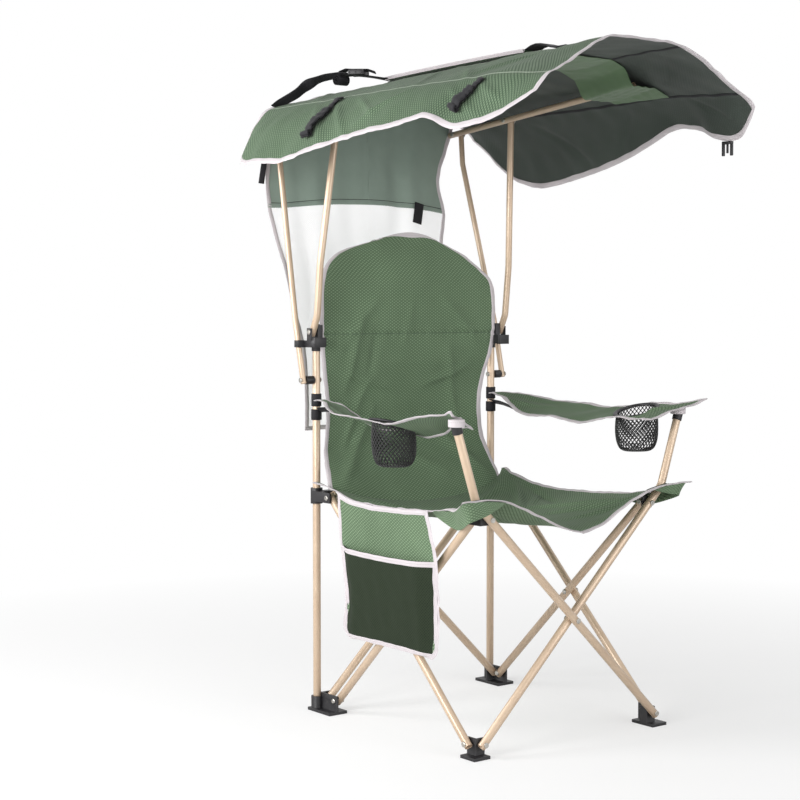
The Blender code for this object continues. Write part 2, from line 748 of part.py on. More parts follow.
def front_foot(name, side, tube_y, body):
    """A front foot: base and the lugs of a side tube and a front tube."""
    inner = PIN_X - LUG_REACH
    side_plate = (OUTER_X - TUBE_RADIUS - GAP - PLATE, OUTER_X - TUBE_RADIUS - GAP)
    lug_y = (tube_y + TUBE_RADIUS + GAP, FRONT_PIN_Y - END_REACH - GAP)
    top = LOW_PIN_Z + LUG_REACH
    pieces = [
        side_block(
            name,
            side,
            inner,
            OUTER_X + TUBE_RADIUS,
            (tube_y - TUBE_RADIUS, FRONT_PIN_Y + LUG_REACH),
            (0.0, FOOT_BASE),
        ),
        side_block(
            name + "_side_lug", side, *side_plate, (lug_y[1] - CORNER_PLATE, FRONT_PIN_Y + LUG_REACH),
            (CHAMFER, top),
        ),
        side_block(name + "_front_lug", side, inner, side_plate[1], lug_y, (CHAMFER, top)),
    ]
    pieces += [
        side_rivet(name + "_side_pin", side, side_plate[0], OUTER_X + TUBE_RADIUS, FRONT_PIN_Y, LOW_PIN_Z),
        front_pin(name + "_front_pin", side * PIN_X, tube_y, lug_y[1], LOW_PIN_Z),
    ]
    return part(joined(name, pieces), "plastic", body)


def front_hub(name, side, tube_y, body):
    """A hub under a front seat corner, pinned to a side tube and to the front tube that passes."""
    plate_x = (INNER_X + TUBE_RADIUS + GAP, INNER_X + TUBE_RADIUS + GAP + PLATE)
    rows = (HIGH_PIN_Z - HUB_HALF, HIGH_PIN_Z + HUB_HALF)
    lug_y = (tube_y + TUBE_RADIUS + GAP, FRONT_PIN_Y - END_REACH - GAP)
    pieces = [
        side_block(name, side, *plate_x, (lug_y[1] - CORNER_PLATE, FRONT_PIN_Y + LUG_REACH), rows),
        side_block(name + "_front_lug", side, PIN_X - LUG_REACH, plate_x[1], lug_y, rows),
    ]
    pieces += [
        side_rivet(name + "_side_pin", side, INNER_X - TUBE_RADIUS, plate_x[1], FRONT_PIN_Y, HIGH_PIN_Z),
        front_pin(name + "_front_pin", side * PIN_X, tube_y, lug_y[1], HIGH_PIN_Z),
    ]
    return part(joined(name, pieces), "plastic", body)


def back_post(name, side, body):
    """An upright tube from the rear foot to the canopy bracket."""
    made = tube(name, [(side * POST_X, POST_Y, FOOT_BASE + GAP), (side * POST_X, POST_Y, POST_TOP_Z)],
                TUBE_RADIUS)
    hole = pin_hole(side, POST_X - TUBE_RADIUS, POST_X + TUBE_RADIUS, POST_Y, STRUT_PIN_Z)
    return part(drilled(made, [hole]), "steel", body)


def strut_line():
    """Points of the rear strut on the left side, from its pin to its top, in the side view."""
    back = (STRUT_TOP_Y - POST_Y) / (STRUT_TOP_Z - STRUT_PIN_Z)
    straight_y = POST_Y + back * (STRUT_STRAIGHT_Z - STRUT_PIN_Z)
    return straight_y, back


def canopy_bracket(name, side, body):
    """The post's cap: it carries the canopy post's pin and the open clip for the rear strut."""
    sleeve = TUBE_RADIUS + BORE_SLACK + BRACKET_WALL
    _, back = strut_line()
    clip_mid_z = CLIP_LOW_Z + CLIP_HEIGHT / 2
    strut_y = POST_Y + back * (clip_mid_z - STRUT_PIN_Z)
    reach = STRUT_RADIUS + back * CLIP_HEIGHT / 2 + GAP * 2
    cheek = (CANOPY_POST_X + CANOPY_POST_RADIUS + GAP, CANOPY_POST_X + CANOPY_POST_RADIUS + GAP + BRACKET_CHEEK)
    clip_outer = STRUT_X + STRUT_RADIUS + GAP
    clip_z = (CLIP_LOW_Z, CLIP_LOW_Z + CLIP_HEIGHT)
    web_y = (POST_PIN_Y - WEB_FRONT, POST_PIN_Y - WEB_FRONT + WEB_DEPTH)
    web_z = (CLIP_LOW_Z, POST_TOP_Z)
    lug_half = BRACKET_TOP_Z - POST_PIN_Z
    boss_x = (POST_X - CLIP_WALL, CANOPY_POST_X - CANOPY_POST_RADIUS - GAP)
    pieces = [
        rod(name, (side * POST_X, POST_Y, BRACKET_LOW_Z), (side * POST_X, POST_Y, BRACKET_TOP_Z),
            sleeve, SOCKET_SIDES),
        side_block(
            name + "_boss", side, *boss_x, (POST_PIN_Y - lug_half / 2, POST_Y),
            (POST_TOP_Z - CHAMFER, BRACKET_TOP_Z - CHAMFER),
        ),
        side_block(
            name + "_arm", side, POST_X - 2 * CLIP_WALL, boss_x[1] - GAP,
            (web_y[0] + CHAMFER, POST_Y), (web_z[0] + CHAMFER, web_z[1]),
        ),
        side_block(name + "_web", side, boss_x[0] + GAP, cheek[1] - GAP, web_y, web_z),
        side_block(
            name + "_cheek", side, *cheek, (web_y[0] + GAP, strut_y + STRUT_RADIUS / 2), clip_z,
        ),
        side_block(
            name + "_cheek_top", side, cheek[0] + GAP / 2, cheek[1] + GAP / 2,
            (POST_PIN_Y - lug_half / 2, POST_PIN_Y + lug_half / 2),
            (clip_z[0] + CHAMFER, POST_PIN_Z + lug_half / 2),
        ),
        side_block(
            name + "_clip_front", side, cheek[0] + GAP, clip_outer + CLIP_WALL,
            (strut_y - reach - CLIP_WALL, strut_y - reach), (clip_z[0] - GAP, clip_z[1] + GAP),
        ),
        side_block(
            name + "_clip_side", side, clip_outer, clip_outer + CLIP_WALL - GAP,
            (strut_y - reach - CLIP_WALL / 2, strut_y + STRUT_RADIUS / 2), clip_z,
        ),
    ]
    made = joined(name, pieces)
    bore = rod(
        name + "_bore",
        (side * POST_X, POST_Y, BRACKET_LOW_Z - CUT_OVERRUN),
        (side * POST_X, POST_Y, POST_TOP_Z + GAP),
        TUBE_RADIUS + BORE_SLACK,
        SOCKET_SIDES,
    )
    boolean(made, bore, "DIFFERENCE")
    pin = side_rivet(name + "_pin", side, boss_x[0], cheek[1], POST_PIN_Y, POST_PIN_Z, (False, True))
    add_pins(made, [pin])
    return part(made, "plastic", body)


def strut_spacer(name, side, body):
    """The round spacer between the back post and the rear strut's foot, with the pin through both."""
    inner, outer = POST_X + TUBE_RADIUS + GAP, STRUT_X - STRUT_RADIUS - GAP
    made = rod(name, mirrored(side, inner, POST_Y, STRUT_PIN_Z), mirrored(side, outer, POST_Y, STRUT_PIN_Z),
               SPACER_RADIUS)
    pin = side_rivet(name + "_pin", side, POST_X - TUBE_RADIUS, STRUT_X + STRUT_RADIUS, POST_Y, STRUT_PIN_Z)
    add_pins(made, [pin])
    return part(made, "plastic", body)


def canopy_post(name, side, body):
    """The front canopy post, cranked just above its pin and drawn in towards the rail."""
    pin = mirrored(side, CANOPY_POST_X, POST_PIN_Y, POST_PIN_Z)
    bend = mirrored(side, CANOPY_POST_X, CANOPY_POST_BEND.y, CANOPY_POST_BEND.z)
    top = mirrored(side, CANOPY_POST_TOP_X, FRONT_TOP_Y, FRONT_TOP_Z)
    straight = bend.lerp(top, CANOPY_POST_STRAIGHT_SHARE)
    straight.x = side * CANOPY_POST_X
    foot = pin - (bend - pin).normalized() * TUBE_END
    made = tube(name, [foot, bend, straight, top + (top - straight).normalized() * LINK_END],
                CANOPY_POST_RADIUS)
    holes = [
        pin_hole(side, CANOPY_POST_X - CANOPY_POST_RADIUS, CANOPY_POST_X + CANOPY_POST_RADIUS,
                 POST_PIN_Y, POST_PIN_Z),
        pin_hole(side, CANOPY_POST_TOP_X - CANOPY_POST_RADIUS, CANOPY_POST_TOP_X + CANOPY_POST_RADIUS,
                 FRONT_TOP_Y, FRONT_TOP_Z),
    ]
    return part(drilled(made, holes), "steel", body)


def rear_strut(name, side, body):
    """The rear strut: from its pin through the clip, back and up to the rail."""
    straight_y, back = strut_line()
    pin = mirrored(side, STRUT_X, POST_Y, STRUT_PIN_Z)
    straight = mirrored(side, STRUT_X, straight_y, STRUT_STRAIGHT_Z)
    bend = mirrored(side, STRUT_TOP_X, STRUT_TOP_Y - STRUT_BEND_BACK, STRUT_BEND_Z)
    top = mirrored(side, STRUT_TOP_X, STRUT_TOP_Y, STRUT_TOP_Z)
    foot = pin - (straight - pin).normalized() * TUBE_END
    made = tube(name, [foot, straight, bend, top + (top - bend).normalized() * LINK_END], STRUT_RADIUS)
    holes = [
        pin_hole(side, STRUT_X - STRUT_RADIUS, STRUT_X + STRUT_RADIUS, POST_Y, STRUT_PIN_Z),
        pin_hole(side, STRUT_TOP_X - STRUT_RADIUS, STRUT_TOP_X + STRUT_RADIUS, STRUT_TOP_Y, STRUT_TOP_Z),
    ]
    return part(drilled(made, holes), "steel", body)


def rail_point(side, y):
    """The middle of the canopy rail at one place along the chair."""
    ahead = FRONT_TOP_Y - y
    return mirrored(side, RAIL_X - RAIL_TOE_SHARE * ahead, y, FRONT_TOP_Z + RAIL_RISE_SHARE * ahead)


def canopy_rail(name, side, body):
    """The rail under the canopy, from behind the strut to its pocket in the cloth."""
    made = tube(name, [rail_point(side, STRUT_TOP_Y + RAIL_REAR_END), rail_point(side, RAIL_FRONT_Y)],
                RAIL_RADIUS)
    holes = []
    for y in (FRONT_TOP_Y, STRUT_TOP_Y):
        middle = rail_point(side, y)
        x = abs(middle.x)
        holes.append(pin_hole(side, x - RAIL_RADIUS, x + RAIL_RADIUS, middle.y, middle.z))
    return part(drilled(made, holes), "steel", body)


def seat_point(u, v):
    """The hammock seat, eared at its front corners: u runs right to left, v from the hem back."""
    ear = max(0.0, 1 - v / SEAT_EAR_SHARE) ** 2
    x = (2 * u - 1) * (SEAT_HALF_WIDTH + SEAT_EAR * ear)
    free = max(0.0, 1 - (x / SEAT_HALF_WIDTH) ** 2)
    front = FRONT_BACK_Y + TUBE_RADIUS + CLOTH - SEAT_FRONT_BULGE * free
    rear = REAR_PIN_Y - SEAT_REAR_INSET
    dip = SEAT_FRONT_DIP + (SEAT_SAG - SEAT_FRONT_DIP) * min(1.0, v / SEAT_SAG_START_SHARE)
    y = front + (rear - front) * v
    return x, y, SEAT_CORNER_Z - dip * free


def back_point(u, v):
    """The back panel: from the seat's rear edge up in front of the posts to the headrest's arch."""
    across = 2 * u - 1
    free = 1 - across * across
    _, seat_y, seat_z = seat_point(u, 1.0)
    low = seat_z + CLOTH + GAP
    height = v * (BACK_TOP_Z - BACK_LOW_Z)
    head = (HEADREST_Z - BACK_LOW_Z) / (BACK_TOP_Z - BACK_LOW_Z)
    if v < head:
        width = 1 - BACK_WAIST_SHARE * math.sin(math.pi * v / head) ** 2
    else:
        width = between(HEADREST_SHARES, (v - head) / (1 - head))[0]
    rise = min(1.0, v / BACK_FOOT_SHARE)
    rise = rise * rise * (3 - 2 * rise)
    plane = POST_Y - TUBE_RADIUS - BORE_SLACK - BRACKET_WALL - GAP - CLOTH / 2
    y = seat_y + (plane - seat_y) * rise + BACK_SAG * free * math.sin(math.pi * min(1.0, v / head))
    z = low + (BACK_LOW_Z - low) * rise + height
    return across * width * BACK_HALF_WIDTH, y, z


def arm_point(side, u, v):
    """An armrest: u runs outwards, v from the post strap to the front tip."""
    spread = min(1.0, v / ARM_SPREAD_SHARE)
    spread = spread * spread * (3 - 2 * spread)
    inner = POST_X - STRAP_HALF + (ARM_OUTER_X - ARM_WIDTH - POST_X + STRAP_HALF) * spread
    outer = POST_X + STRAP_HALF + (ARM_OUTER_X - POST_X - STRAP_HALF) * spread
    start = POST_Y - TUBE_RADIUS - BORE_SLACK - STRAP_WALL / 2
    y = start + (ARM_FRONT_Y - start) * v
    z = STRAP_Z + (ARM_OUTER_Z - STRAP_Z) * v - ARM_INNER_DROP * (1 - u) * spread
    z -= ARM_SAG * math.sin(math.pi * v) ** 2
    return side * (inner + (outer - inner) * u), y, z


def armrest(name, side, cup_y, body):
    """An arm's cloth, looped round the back post, with the hole for its cup holder."""
    sheet = cloth(name, 5, 12, lambda u, v: arm_point(side, u, v), CLOTH)
    low, high = STRAP_Z - STRAP_HALF, STRAP_Z + STRAP_HALF
    post = side * POST_X, POST_Y
    loop = rod(name + "_loop", (*post, low), (*post, high), TUBE_RADIUS + BORE_SLACK + STRAP_WALL,
               SOCKET_SIDES)
    boolean(sheet, loop, "UNION")
    bore = rod(name + "_bore", (*post, low - CUT_OVERRUN), (*post, high + CUT_OVERRUN),
               TUBE_RADIUS + BORE_SLACK, SOCKET_SIDES)
    boolean(sheet, bore, "DIFFERENCE")
    cup = side * CUP_X, cup_y
    hole = rod(name + "_cup", (*cup, STRAP_Z - CUP_DEPTH), (*cup, STRAP_Z + CUP_DEPTH),
               CUP_RADIUS + CUP_RING_RADIUS + GAP, 2 * TUBE_SIDES)
    boolean(sheet, hole, "DIFFERENCE")
    return part(sheet, "cloth", body)


def turned(name, profile, centre, sides):
    """A turned shape from a profile that runs down its outer side, by a screw about Z."""
    mesh_data = bpy.data.meshes.new(name)
    mesh_data.from_pydata([(r, 0, z) for r, z in profile], [(n, n + 1) for n in range(len(profile) - 1)], [])
    made = mesh_object(name, mesh_data)
    screw = made.modifiers.new("turning", "SCREW")
    screw.steps = sides
    screw.render_steps = sides
    screw.use_merge_vertices = True
    screw.merge_threshold = GAP / 10
    made = baked(made)
    made.data.transform(Matrix.Translation(Vector(centre)))
    return made


def cup_ring(name, centre):
    """The round hoop that holds a cup net open."""
    bpy.ops.mesh.primitive_torus_add(
        location=centre,
        major_segments=2 * TUBE_SIDES,
        minor_segments=6,
        major_radius=CUP_RADIUS,
        minor_radius=CUP_RING_RADIUS,
    )
    made = bpy.context.object
    made.name = name + "_draft"
    for owner in list(made.users_collection):
        owner.objects.unlink(made)
    return solidified(name, made)


def cup_net(name, centre):
    """A net cup that hangs from its hoop."""
    top = CUP_RADIUS - CUP_RING_RADIUS - GAP
    foot = top * CUP_FOOT_SHARE
    profile = [
        (0.0, CUP_WALL - CUP_DEPTH),
        (foot - CUP_WALL, CUP_WALL - CUP_DEPTH),
        (top - CUP_WALL, CUP_RING_RADIUS),
        (top, CUP_RING_RADIUS),
        (foot, -CUP_DEPTH),
        (0.0, -CUP_DEPTH),
    ]
    return turned(name, profile, centre, 2 * PIN_SIDES)


def side_panel(name, body):
    """The cloth panel that hangs from the seat's edge on the sitter's right."""
    top = SEAT_CORNER_Z - 2 * CLOTH
    low = (-PANEL_X, POCKET_FRONT_Y, POCKET_LOW_Z)
    high = (-PANEL_X + POCKET_CLOTH, POCKET_REAR_Y, top)
    return part(block(name, low, high), "cloth", body)


def mesh_pocket(name, body):
    """The pouch on the side panel, open at its mouth."""
    outer_x = -PANEL_X - GAP
    made = block(
        name,
        (outer_x - POCKET_BULGE, POCKET_FRONT_Y, POCKET_LOW_Z),
        (outer_x, POCKET_REAR_Y, POCKET_MOUTH_Z),
    )
    inside = block(
        name + "_inside",
        (outer_x - POCKET_BULGE + POCKET_CLOTH, POCKET_FRONT_Y + POCKET_CLOTH, POCKET_LOW_Z + POCKET_CLOTH),
        (outer_x + CUT_OVERRUN, POCKET_REAR_Y - POCKET_CLOTH, POCKET_MOUTH_Z + CUT_OVERRUN),
    )
    return part(boolean(made, inside, "DIFFERENCE"), "lining", body)


def roof_height(x, v):
    """Height of the canopy's roof between its two side seams."""
    ridge = ROOF_SEAM_Z + ROOF_RIDGE_RISE + ROOF_FRONT_RISE * v
    slope = min(1.0, (ROOF_SEAM_X - abs(x)) / (ROOF_SEAM_X - ROOF_RIDGE_X))
    return ROOF_SEAM_Z + (ridge - ROOF_SEAM_Z) * slope


def roof_y(v):
    """Place along the roof: 0 at its rear edge, 1 at its front edge."""
    return ROOF_REAR_Y + (ROOF_FRONT_Y - ROOF_REAR_Y) * v


def cover_point(u, v):
    """The canopy cover, from hem to hem: flat top, two slopes and two hanging flaps."""
    across = 2 * u - 1
    side = -1 if across < 0 else 1
    reach = abs(across)
    if reach <= RIDGE_SHARE:
        x = ROOF_RIDGE_X * reach / RIDGE_SHARE
        return side * x, roof_y(v), roof_height(x, v)
    if reach <= SEAM_SHARE:
        x = ROOF_RIDGE_X + (ROOF_SEAM_X - ROOF_RIDGE_X) * (reach - RIDGE_SHARE) / (SEAM_SHARE - RIDGE_SHARE)
        return side * x, roof_y(v), roof_height(x, v)
    hang = (reach - SEAM_SHARE) / (1 - SEAM_SHARE)
    flare, drop = between(FLAP_HEM_SHARES, v)
    x = ROOF_SEAM_X + FLAP_FLARE * flare * hang
    return side * x, roof_y(v), ROOF_SEAM_Z - FLAP_DROP * drop * hang


def band_point(u, v):
    """The sewn pocket under the roof that the rails' front ends sit in."""
    y = POCKET_BAND_REAR_Y + (POCKET_BAND_FRONT_Y - POCKET_BAND_REAR_Y) * v
    share = (ROOF_REAR_Y - y) / (ROOF_REAR_Y - ROOF_FRONT_Y)
    across = 2 * u - 1
    x = across * (ROOF_SEAM_X - BAND_INSET)
    rail = rail_point(1, y)
    under_roof = roof_height(x, share) - CLOTH / 2 - GAP - POCKET_CLOTH / 2 - BAND_DROP
    under_rail = rail.z - RAIL_RADIUS - GAP * 2 - POCKET_CLOTH / 2
    near = max(0.0, 1 - max(0.0, abs(abs(x) - rail.x) - BAND_FLAT) / BAND_SPREAD)
    return x, y, under_roof + min(0.0, under_rail - under_roof) * near


def rear_flap_point(top, low, u, v):
    """The flap behind the sitter's head, between two heights, narrower towards its foot."""
    across = 2 * u - 1
    top_x, low_x = (flap_half_width(z) for z in (top, low))
    x = across * (top_x + (low_x - top_x) * v)
    head = top if top < REAR_FLAP_TOP_Z else roof_height(x, 0.0) - CLOTH / 2 - GAP * 2
    z = head + (low - head) * v
    return x, flap_plane(z), z


def flap_half_width(z):
    """Half the rear flap's width at one height."""
    share = (REAR_FLAP_TOP_Z - z) / (REAR_FLAP_TOP_Z - REAR_FLAP_LOW_Z)
    return REAR_FLAP_TOP_X + (REAR_FLAP_LOW_X - REAR_FLAP_TOP_X) * share


def flap_plane(z):
    """The rear flap hangs almost plumb and leans in a little towards its foot."""
    share = (REAR_FLAP_TOP_Z - z) / (REAR_FLAP_TOP_Z - REAR_FLAP_LOW_Z)
    return REAR_FLAP_Y - REAR_FLAP_LEAN * share


def shoulder_strap(name, side, body):
    """A carrying strap on the roof: webbing at both ends, a wide pad between."""

    def strap_point(u, v):
        half = STRAP_PAD_HALF if STRAP_PAD_FROM_SHARE < v < STRAP_PAD_TO_SHARE else STRAP_WEB_HALF
        share = STRAP_FROM_SHARE + (STRAP_TO_SHARE - STRAP_FROM_SHARE) * v
        z = roof_height(0.0, share) + CLOTH / 2 + GAP * 2 + STRAP_THICK / 2
        return side * STRAP_X + (2 * u - 1) * half, roof_y(share), z

    return part(cloth(name, 1, 12, strap_point, STRAP_THICK), "webbing", body)


def hem_strap(side, v_place, name):
    """A short webbing strap with its buckle half, laid down the outside of a flap."""

    def strap_point(u, v):
        share = v_place + (u - 0.5) * HEM_STRAP_WIDTH / (ROOF_REAR_Y - ROOF_FRONT_Y)
        reach = SEAM_SHARE + (1 - SEAM_SHARE) * (HEM_STRAP_TOP_SHARE + HEM_STRAP_RUN_SHARE * v)
        x, y, z = cover_point(0.5 + side * reach / 2, share)
        lift = CLOTH / 2 + GAP * 2 + HEM_STRAP_THICK / 2
        return x + side * lift * math.sin(FLAP_LEAN), y, z + lift * math.cos(FLAP_LEAN)

    return cloth(name, 1, 4, strap_point, HEM_STRAP_THICK, smooth=0)


def hung_buckle(name, side):
    """The buckle half that hangs from the front corner of the other flap."""
    share = HUNG_BUCKLE_SHARE
    x, y, z = cover_point(0.5 + side / 2, share)
    half = HEM_STRAP_WIDTH / 2
    inner = abs(x) - HEM_STRAP_THICK / 2
    top = z - CLOTH / 2 - GAP
    return side_block(name, side, inner, inner + HEM_STRAP_THICK, (y - half, y + half),
                      (top - HUNG_BUCKLE_LENGTH, top))


def build_frame():
    """The steel frame, its moulded corners and its rivets. Returns the bodies by name."""
    bodies = {}
    behind, amid = lug_rows()
    right, left = -1, 1
    base = pivot("back_frame_right_body", (0, 0, 0))
    rear_a = pivot("rear_fold", (right * PIN_X, REAR_BACK_Y, LOW_PIN_Z), base)
    rear_b = pivot("rear_cross", (0, REAR_BACK_Y, MID_PIN_Z), rear_a)
    far = pivot("back_frame_left_body", (left * PIN_X, REAR_FORE_Y, LOW_PIN_Z), rear_b)
    for side, label in SIDES:
        frame = base if side == right else far
        inner = pivot(f"side_fold_{label}", mirrored(side, INNER_X, REAR_PIN_Y, LOW_PIN_Z), frame)
        middle = (FRONT_PIN_Y + REAR_PIN_Y) / 2
        outer = pivot(f"side_cross_{label}", mirrored(side, INNER_X, middle, MID_PIN_Z), inner)
        slide = pivot(f"slider_turn_{label}", mirrored(side, OUTER_X, REAR_PIN_Y, HIGH_PIN_Z), outer)
        foot = pivot(f"front_foot_turn_{label}", mirrored(side, OUTER_X, FRONT_PIN_Y, LOW_PIN_Z), outer)
        hub = pivot(f"hub_turn_{label}", mirrored(side, INNER_X, FRONT_PIN_Y, HIGH_PIN_Z), inner)
        mast = pivot(f"canopy_fold_{label}", mirrored(side, CANOPY_POST_X, POST_PIN_Y, POST_PIN_Z), frame)
        strut = pivot(f"strut_fold_{label}", mirrored(side, STRUT_X, POST_Y, STRUT_PIN_Z), frame)
        rail = pivot(f"rail_turn_{label}", mirrored(side, RAIL_X, FRONT_TOP_Y, FRONT_TOP_Z), mast)
        for key, body in zip(
            ("frame", "inner", "outer", "slide", "foot", "hub", "mast", "strut", "rail"),
            (frame, inner, outer, slide, foot, hub, mast, strut, rail),
        ):
            bodies[key, label] = body
    bodies["rear_a"], bodies["rear_b"] = rear_a, rear_b
    bodies["front_a"] = pivot("front_fold", (right * PIN_X, FRONT_BACK_Y, LOW_PIN_Z), bodies["foot", "right"])
    bodies["front_b"] = pivot("front_cross", (0, FRONT_BACK_Y, MID_PIN_Z), bodies["front_a"])
    for side, label in SIDES:
        build_side(side, label, bodies, behind, amid)
    build_crossings(bodies)
    return bodies


def build_side(side, label, bodies, behind, amid):
    """Everything that one side of the chair has of its own."""
    foot_row, slide_row = (behind, amid) if side < 0 else (amid, behind)
    foot_tube, hub_tube = (FRONT_BACK_Y, FRONT_FORE_Y) if side < 0 else (FRONT_FORE_Y, FRONT_BACK_Y)
    rear_foot(f"rear_foot_{label}", side, foot_row, bodies["frame", label])
    back_post(f"back_post_{label}", side, bodies["frame", label])
    slider(f"post_slider_{label}", side, slide_row, bodies["slide", label])
    front_foot(f"front_foot_{label}", side, foot_tube, bodies["foot", label])
    front_hub(f"front_hub_{label}", side, hub_tube, bodies["hub", label])
    side_cross_tube(f"side_tube_inner_{label}", side, INNER_X, REAR_PIN_Y, FRONT_PIN_Y, bodies["inner", label])
    side_cross_tube(f"side_tube_outer_{label}", side, OUTER_X, FRONT_PIN_Y, REAR_PIN_Y, bodies["outer", label])
    canopy_bracket(f"canopy_bracket_{label}", side, bodies["frame", label])
    strut_spacer(f"strut_spacer_{label}", side, bodies["frame", label])
    canopy_post(f"canopy_post_{label}", side, bodies["mast", label])
    rear_strut(f"rear_strut_{label}", side, bodies["strut", label])
    canopy_rail(f"canopy_rail_{label}", side, bodies["rail", label])

    middle = (FRONT_PIN_Y + REAR_PIN_Y) / 2
    crossing = side_rivet(f"rivet_side_cross_{label}", side, INNER_X - TUBE_RADIUS, OUTER_X + TUBE_RADIUS,
                          middle, MID_PIN_Z)
    part(crossing, "rivet", bodies["inner", label])
    for where, y, link_x, link_radius in (
        ("front", FRONT_TOP_Y, CANOPY_POST_TOP_X, CANOPY_POST_RADIUS),
        ("rear", STRUT_TOP_Y, STRUT_TOP_X, STRUT_RADIUS),
    ):
        place = rail_point(side, y)
        pin = side_rivet(f"rivet_rail_{where}_{label}", side, abs(place.x) - RAIL_RADIUS - GAP,
                         link_x + link_radius, place.y, place.z)
        part(pin, "rivet", bodies["rail", label])


def build_crossings(bodies):
    """The tubes and rivets of the front and rear scissors, which join the two sides."""
    right, left = -1, 1
    rear_cross_tube("rear_tube_rising_left", right, REAR_BACK_Y, bodies["rear_a"])
    rear_cross_tube("rear_tube_rising_right", left, REAR_FORE_Y, bodies["rear_b"])
    front_cross_tube("front_tube_rising_left", right, FRONT_BACK_Y, bodies["front_a"])
    front_cross_tube("front_tube_rising_right", left, FRONT_FORE_Y, bodies["front_b"])
    arm_cap("arm_post_cap_left", left, FRONT_BACK_Y, bodies["front_a"])
    arm_cap("arm_post_cap_right", right, FRONT_FORE_Y, bodies["front_b"])

    rear = rivet("rivet_rear_cross", (0, REAR_FORE_Y - TUBE_RADIUS, MID_PIN_Z),
                 (0, REAR_BACK_Y + TUBE_RADIUS, MID_PIN_Z))
    part(rear, "rivet", bodies["rear_a"])
    front = rivet("rivet_front_cross", (0, FRONT_FORE_Y - TUBE_RADIUS, MID_PIN_Z),
                  (0, FRONT_BACK_Y + TUBE_RADIUS, MID_PIN_Z))
    part(front, "rivet", bodies["front_a"])


def build_cloth(bodies):
    """Seat, back, arms, side pocket and canopy."""
    base, rail = bodies["frame", "right"], bodies["rail", "right"]
    far = bodies["frame", "left"]
    part(cloth("seat_panel", 10, 9, seat_point, CLOTH), "cloth", base)
    part(cloth("back_panel", 10, 14, back_point, CLOTH), "cloth", base)
    armrest("armrest_right", -1, CUP_RIGHT_Y, base)
    armrest("armrest_left", 1, CUP_LEFT_Y, far)
    cups = {"right": (-CUP_X, CUP_RIGHT_Y, CUP_RIGHT_Z), "left": (CUP_X, CUP_LEFT_Y, CUP_LEFT_Z)}
    for label, centre in cups.items():
        part(cup_ring(f"cup_ring_{label}", centre), "plastic", bodies["frame", label])
        part(cup_net(f"cup_net_{label}", centre), "net", bodies["frame", label])
    side_panel("side_panel", base)
    mesh_pocket("mesh_pocket", base)
    part(cloth("canopy_cover", 10, 17, cover_point, CLOTH, smooth=0), "cloth", rail)
    part(cloth("canopy_pocket", 24, 2, band_point, POCKET_CLOTH, smooth=0), "cloth", rail)
    upper = cloth("rear_flap", 8, 3, lambda u, v: rear_flap_point(REAR_FLAP_TOP_Z, REAR_FLAP_SPLIT_Z, u, v),
                  CLOTH, smooth=0)
    part(upper, "lining", base)
    seam = REAR_FLAP_SPLIT_Z - GAP
    lower = cloth("rear_mesh", 4, 4, lambda u, v: rear_flap_point(seam, REAR_FLAP_LOW_Z, u, v),
                  POCKET_CLOTH, smooth=0)
    part(lower, "mesh", base)
    for side, label in SIDES:
        shoulder_strap(f"shoulder_strap_{label}", side, rail)
    for place, share in zip(("rear", "front"), HEM_STRAP_PLACE_SHARES):
        part(hem_strap(-1, share, f"flap_strap_{place}"), "webbing", rail)
    part(hung_buckle("flap_buckle_left", 1), "webbing", bodies["rail", "left"])


build_cloth(build_frame())
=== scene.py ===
"""Folding beach chair with a sun canopy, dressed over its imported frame.

Metres, +Z up, the sitter faces -Y and the sitter's right is at -X. The steel frame is four scissors
of equal tubes, the cloth hangs on it, and the canopy swings down behind the back.
"""

import json
import logging
import math
from dataclasses import dataclass, field
from enum import Enum
from typing import Callable, Sequence

import bmesh
import bpy
import numpy as np
from mathutils import Matrix, Vector

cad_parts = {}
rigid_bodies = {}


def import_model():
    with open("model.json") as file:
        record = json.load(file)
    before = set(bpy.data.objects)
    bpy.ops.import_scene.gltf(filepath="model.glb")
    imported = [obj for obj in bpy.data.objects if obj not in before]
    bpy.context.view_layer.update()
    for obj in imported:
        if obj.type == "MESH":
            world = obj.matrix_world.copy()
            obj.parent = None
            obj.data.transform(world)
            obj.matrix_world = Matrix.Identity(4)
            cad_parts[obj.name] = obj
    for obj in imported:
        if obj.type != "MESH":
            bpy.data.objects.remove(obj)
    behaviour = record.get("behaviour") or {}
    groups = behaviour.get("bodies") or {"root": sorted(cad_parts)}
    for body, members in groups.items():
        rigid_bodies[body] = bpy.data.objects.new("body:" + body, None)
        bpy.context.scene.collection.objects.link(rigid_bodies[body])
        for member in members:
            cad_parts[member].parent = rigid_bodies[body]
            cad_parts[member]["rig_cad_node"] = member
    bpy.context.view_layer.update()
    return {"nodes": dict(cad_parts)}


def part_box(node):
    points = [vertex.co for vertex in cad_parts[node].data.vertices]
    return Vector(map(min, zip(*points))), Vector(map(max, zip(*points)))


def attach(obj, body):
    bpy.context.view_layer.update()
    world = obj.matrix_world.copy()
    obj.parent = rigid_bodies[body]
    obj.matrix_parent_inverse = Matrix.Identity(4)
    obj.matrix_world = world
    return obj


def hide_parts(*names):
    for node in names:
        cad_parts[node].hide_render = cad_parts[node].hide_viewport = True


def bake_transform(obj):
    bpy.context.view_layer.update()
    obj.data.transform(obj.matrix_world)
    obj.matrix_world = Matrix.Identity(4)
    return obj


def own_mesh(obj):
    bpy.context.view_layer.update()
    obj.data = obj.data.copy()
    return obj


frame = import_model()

log = logging.getLogger("beach_chair")
Piece = bpy.types.Object
Spot = tuple[float, float, float]
Fold = tuple[tuple[float, float], tuple[float, float], float, float]
Shape = Callable[[float, float], Sequence[float]]
Relief = Callable[[np.ndarray, np.ndarray], np.ndarray]


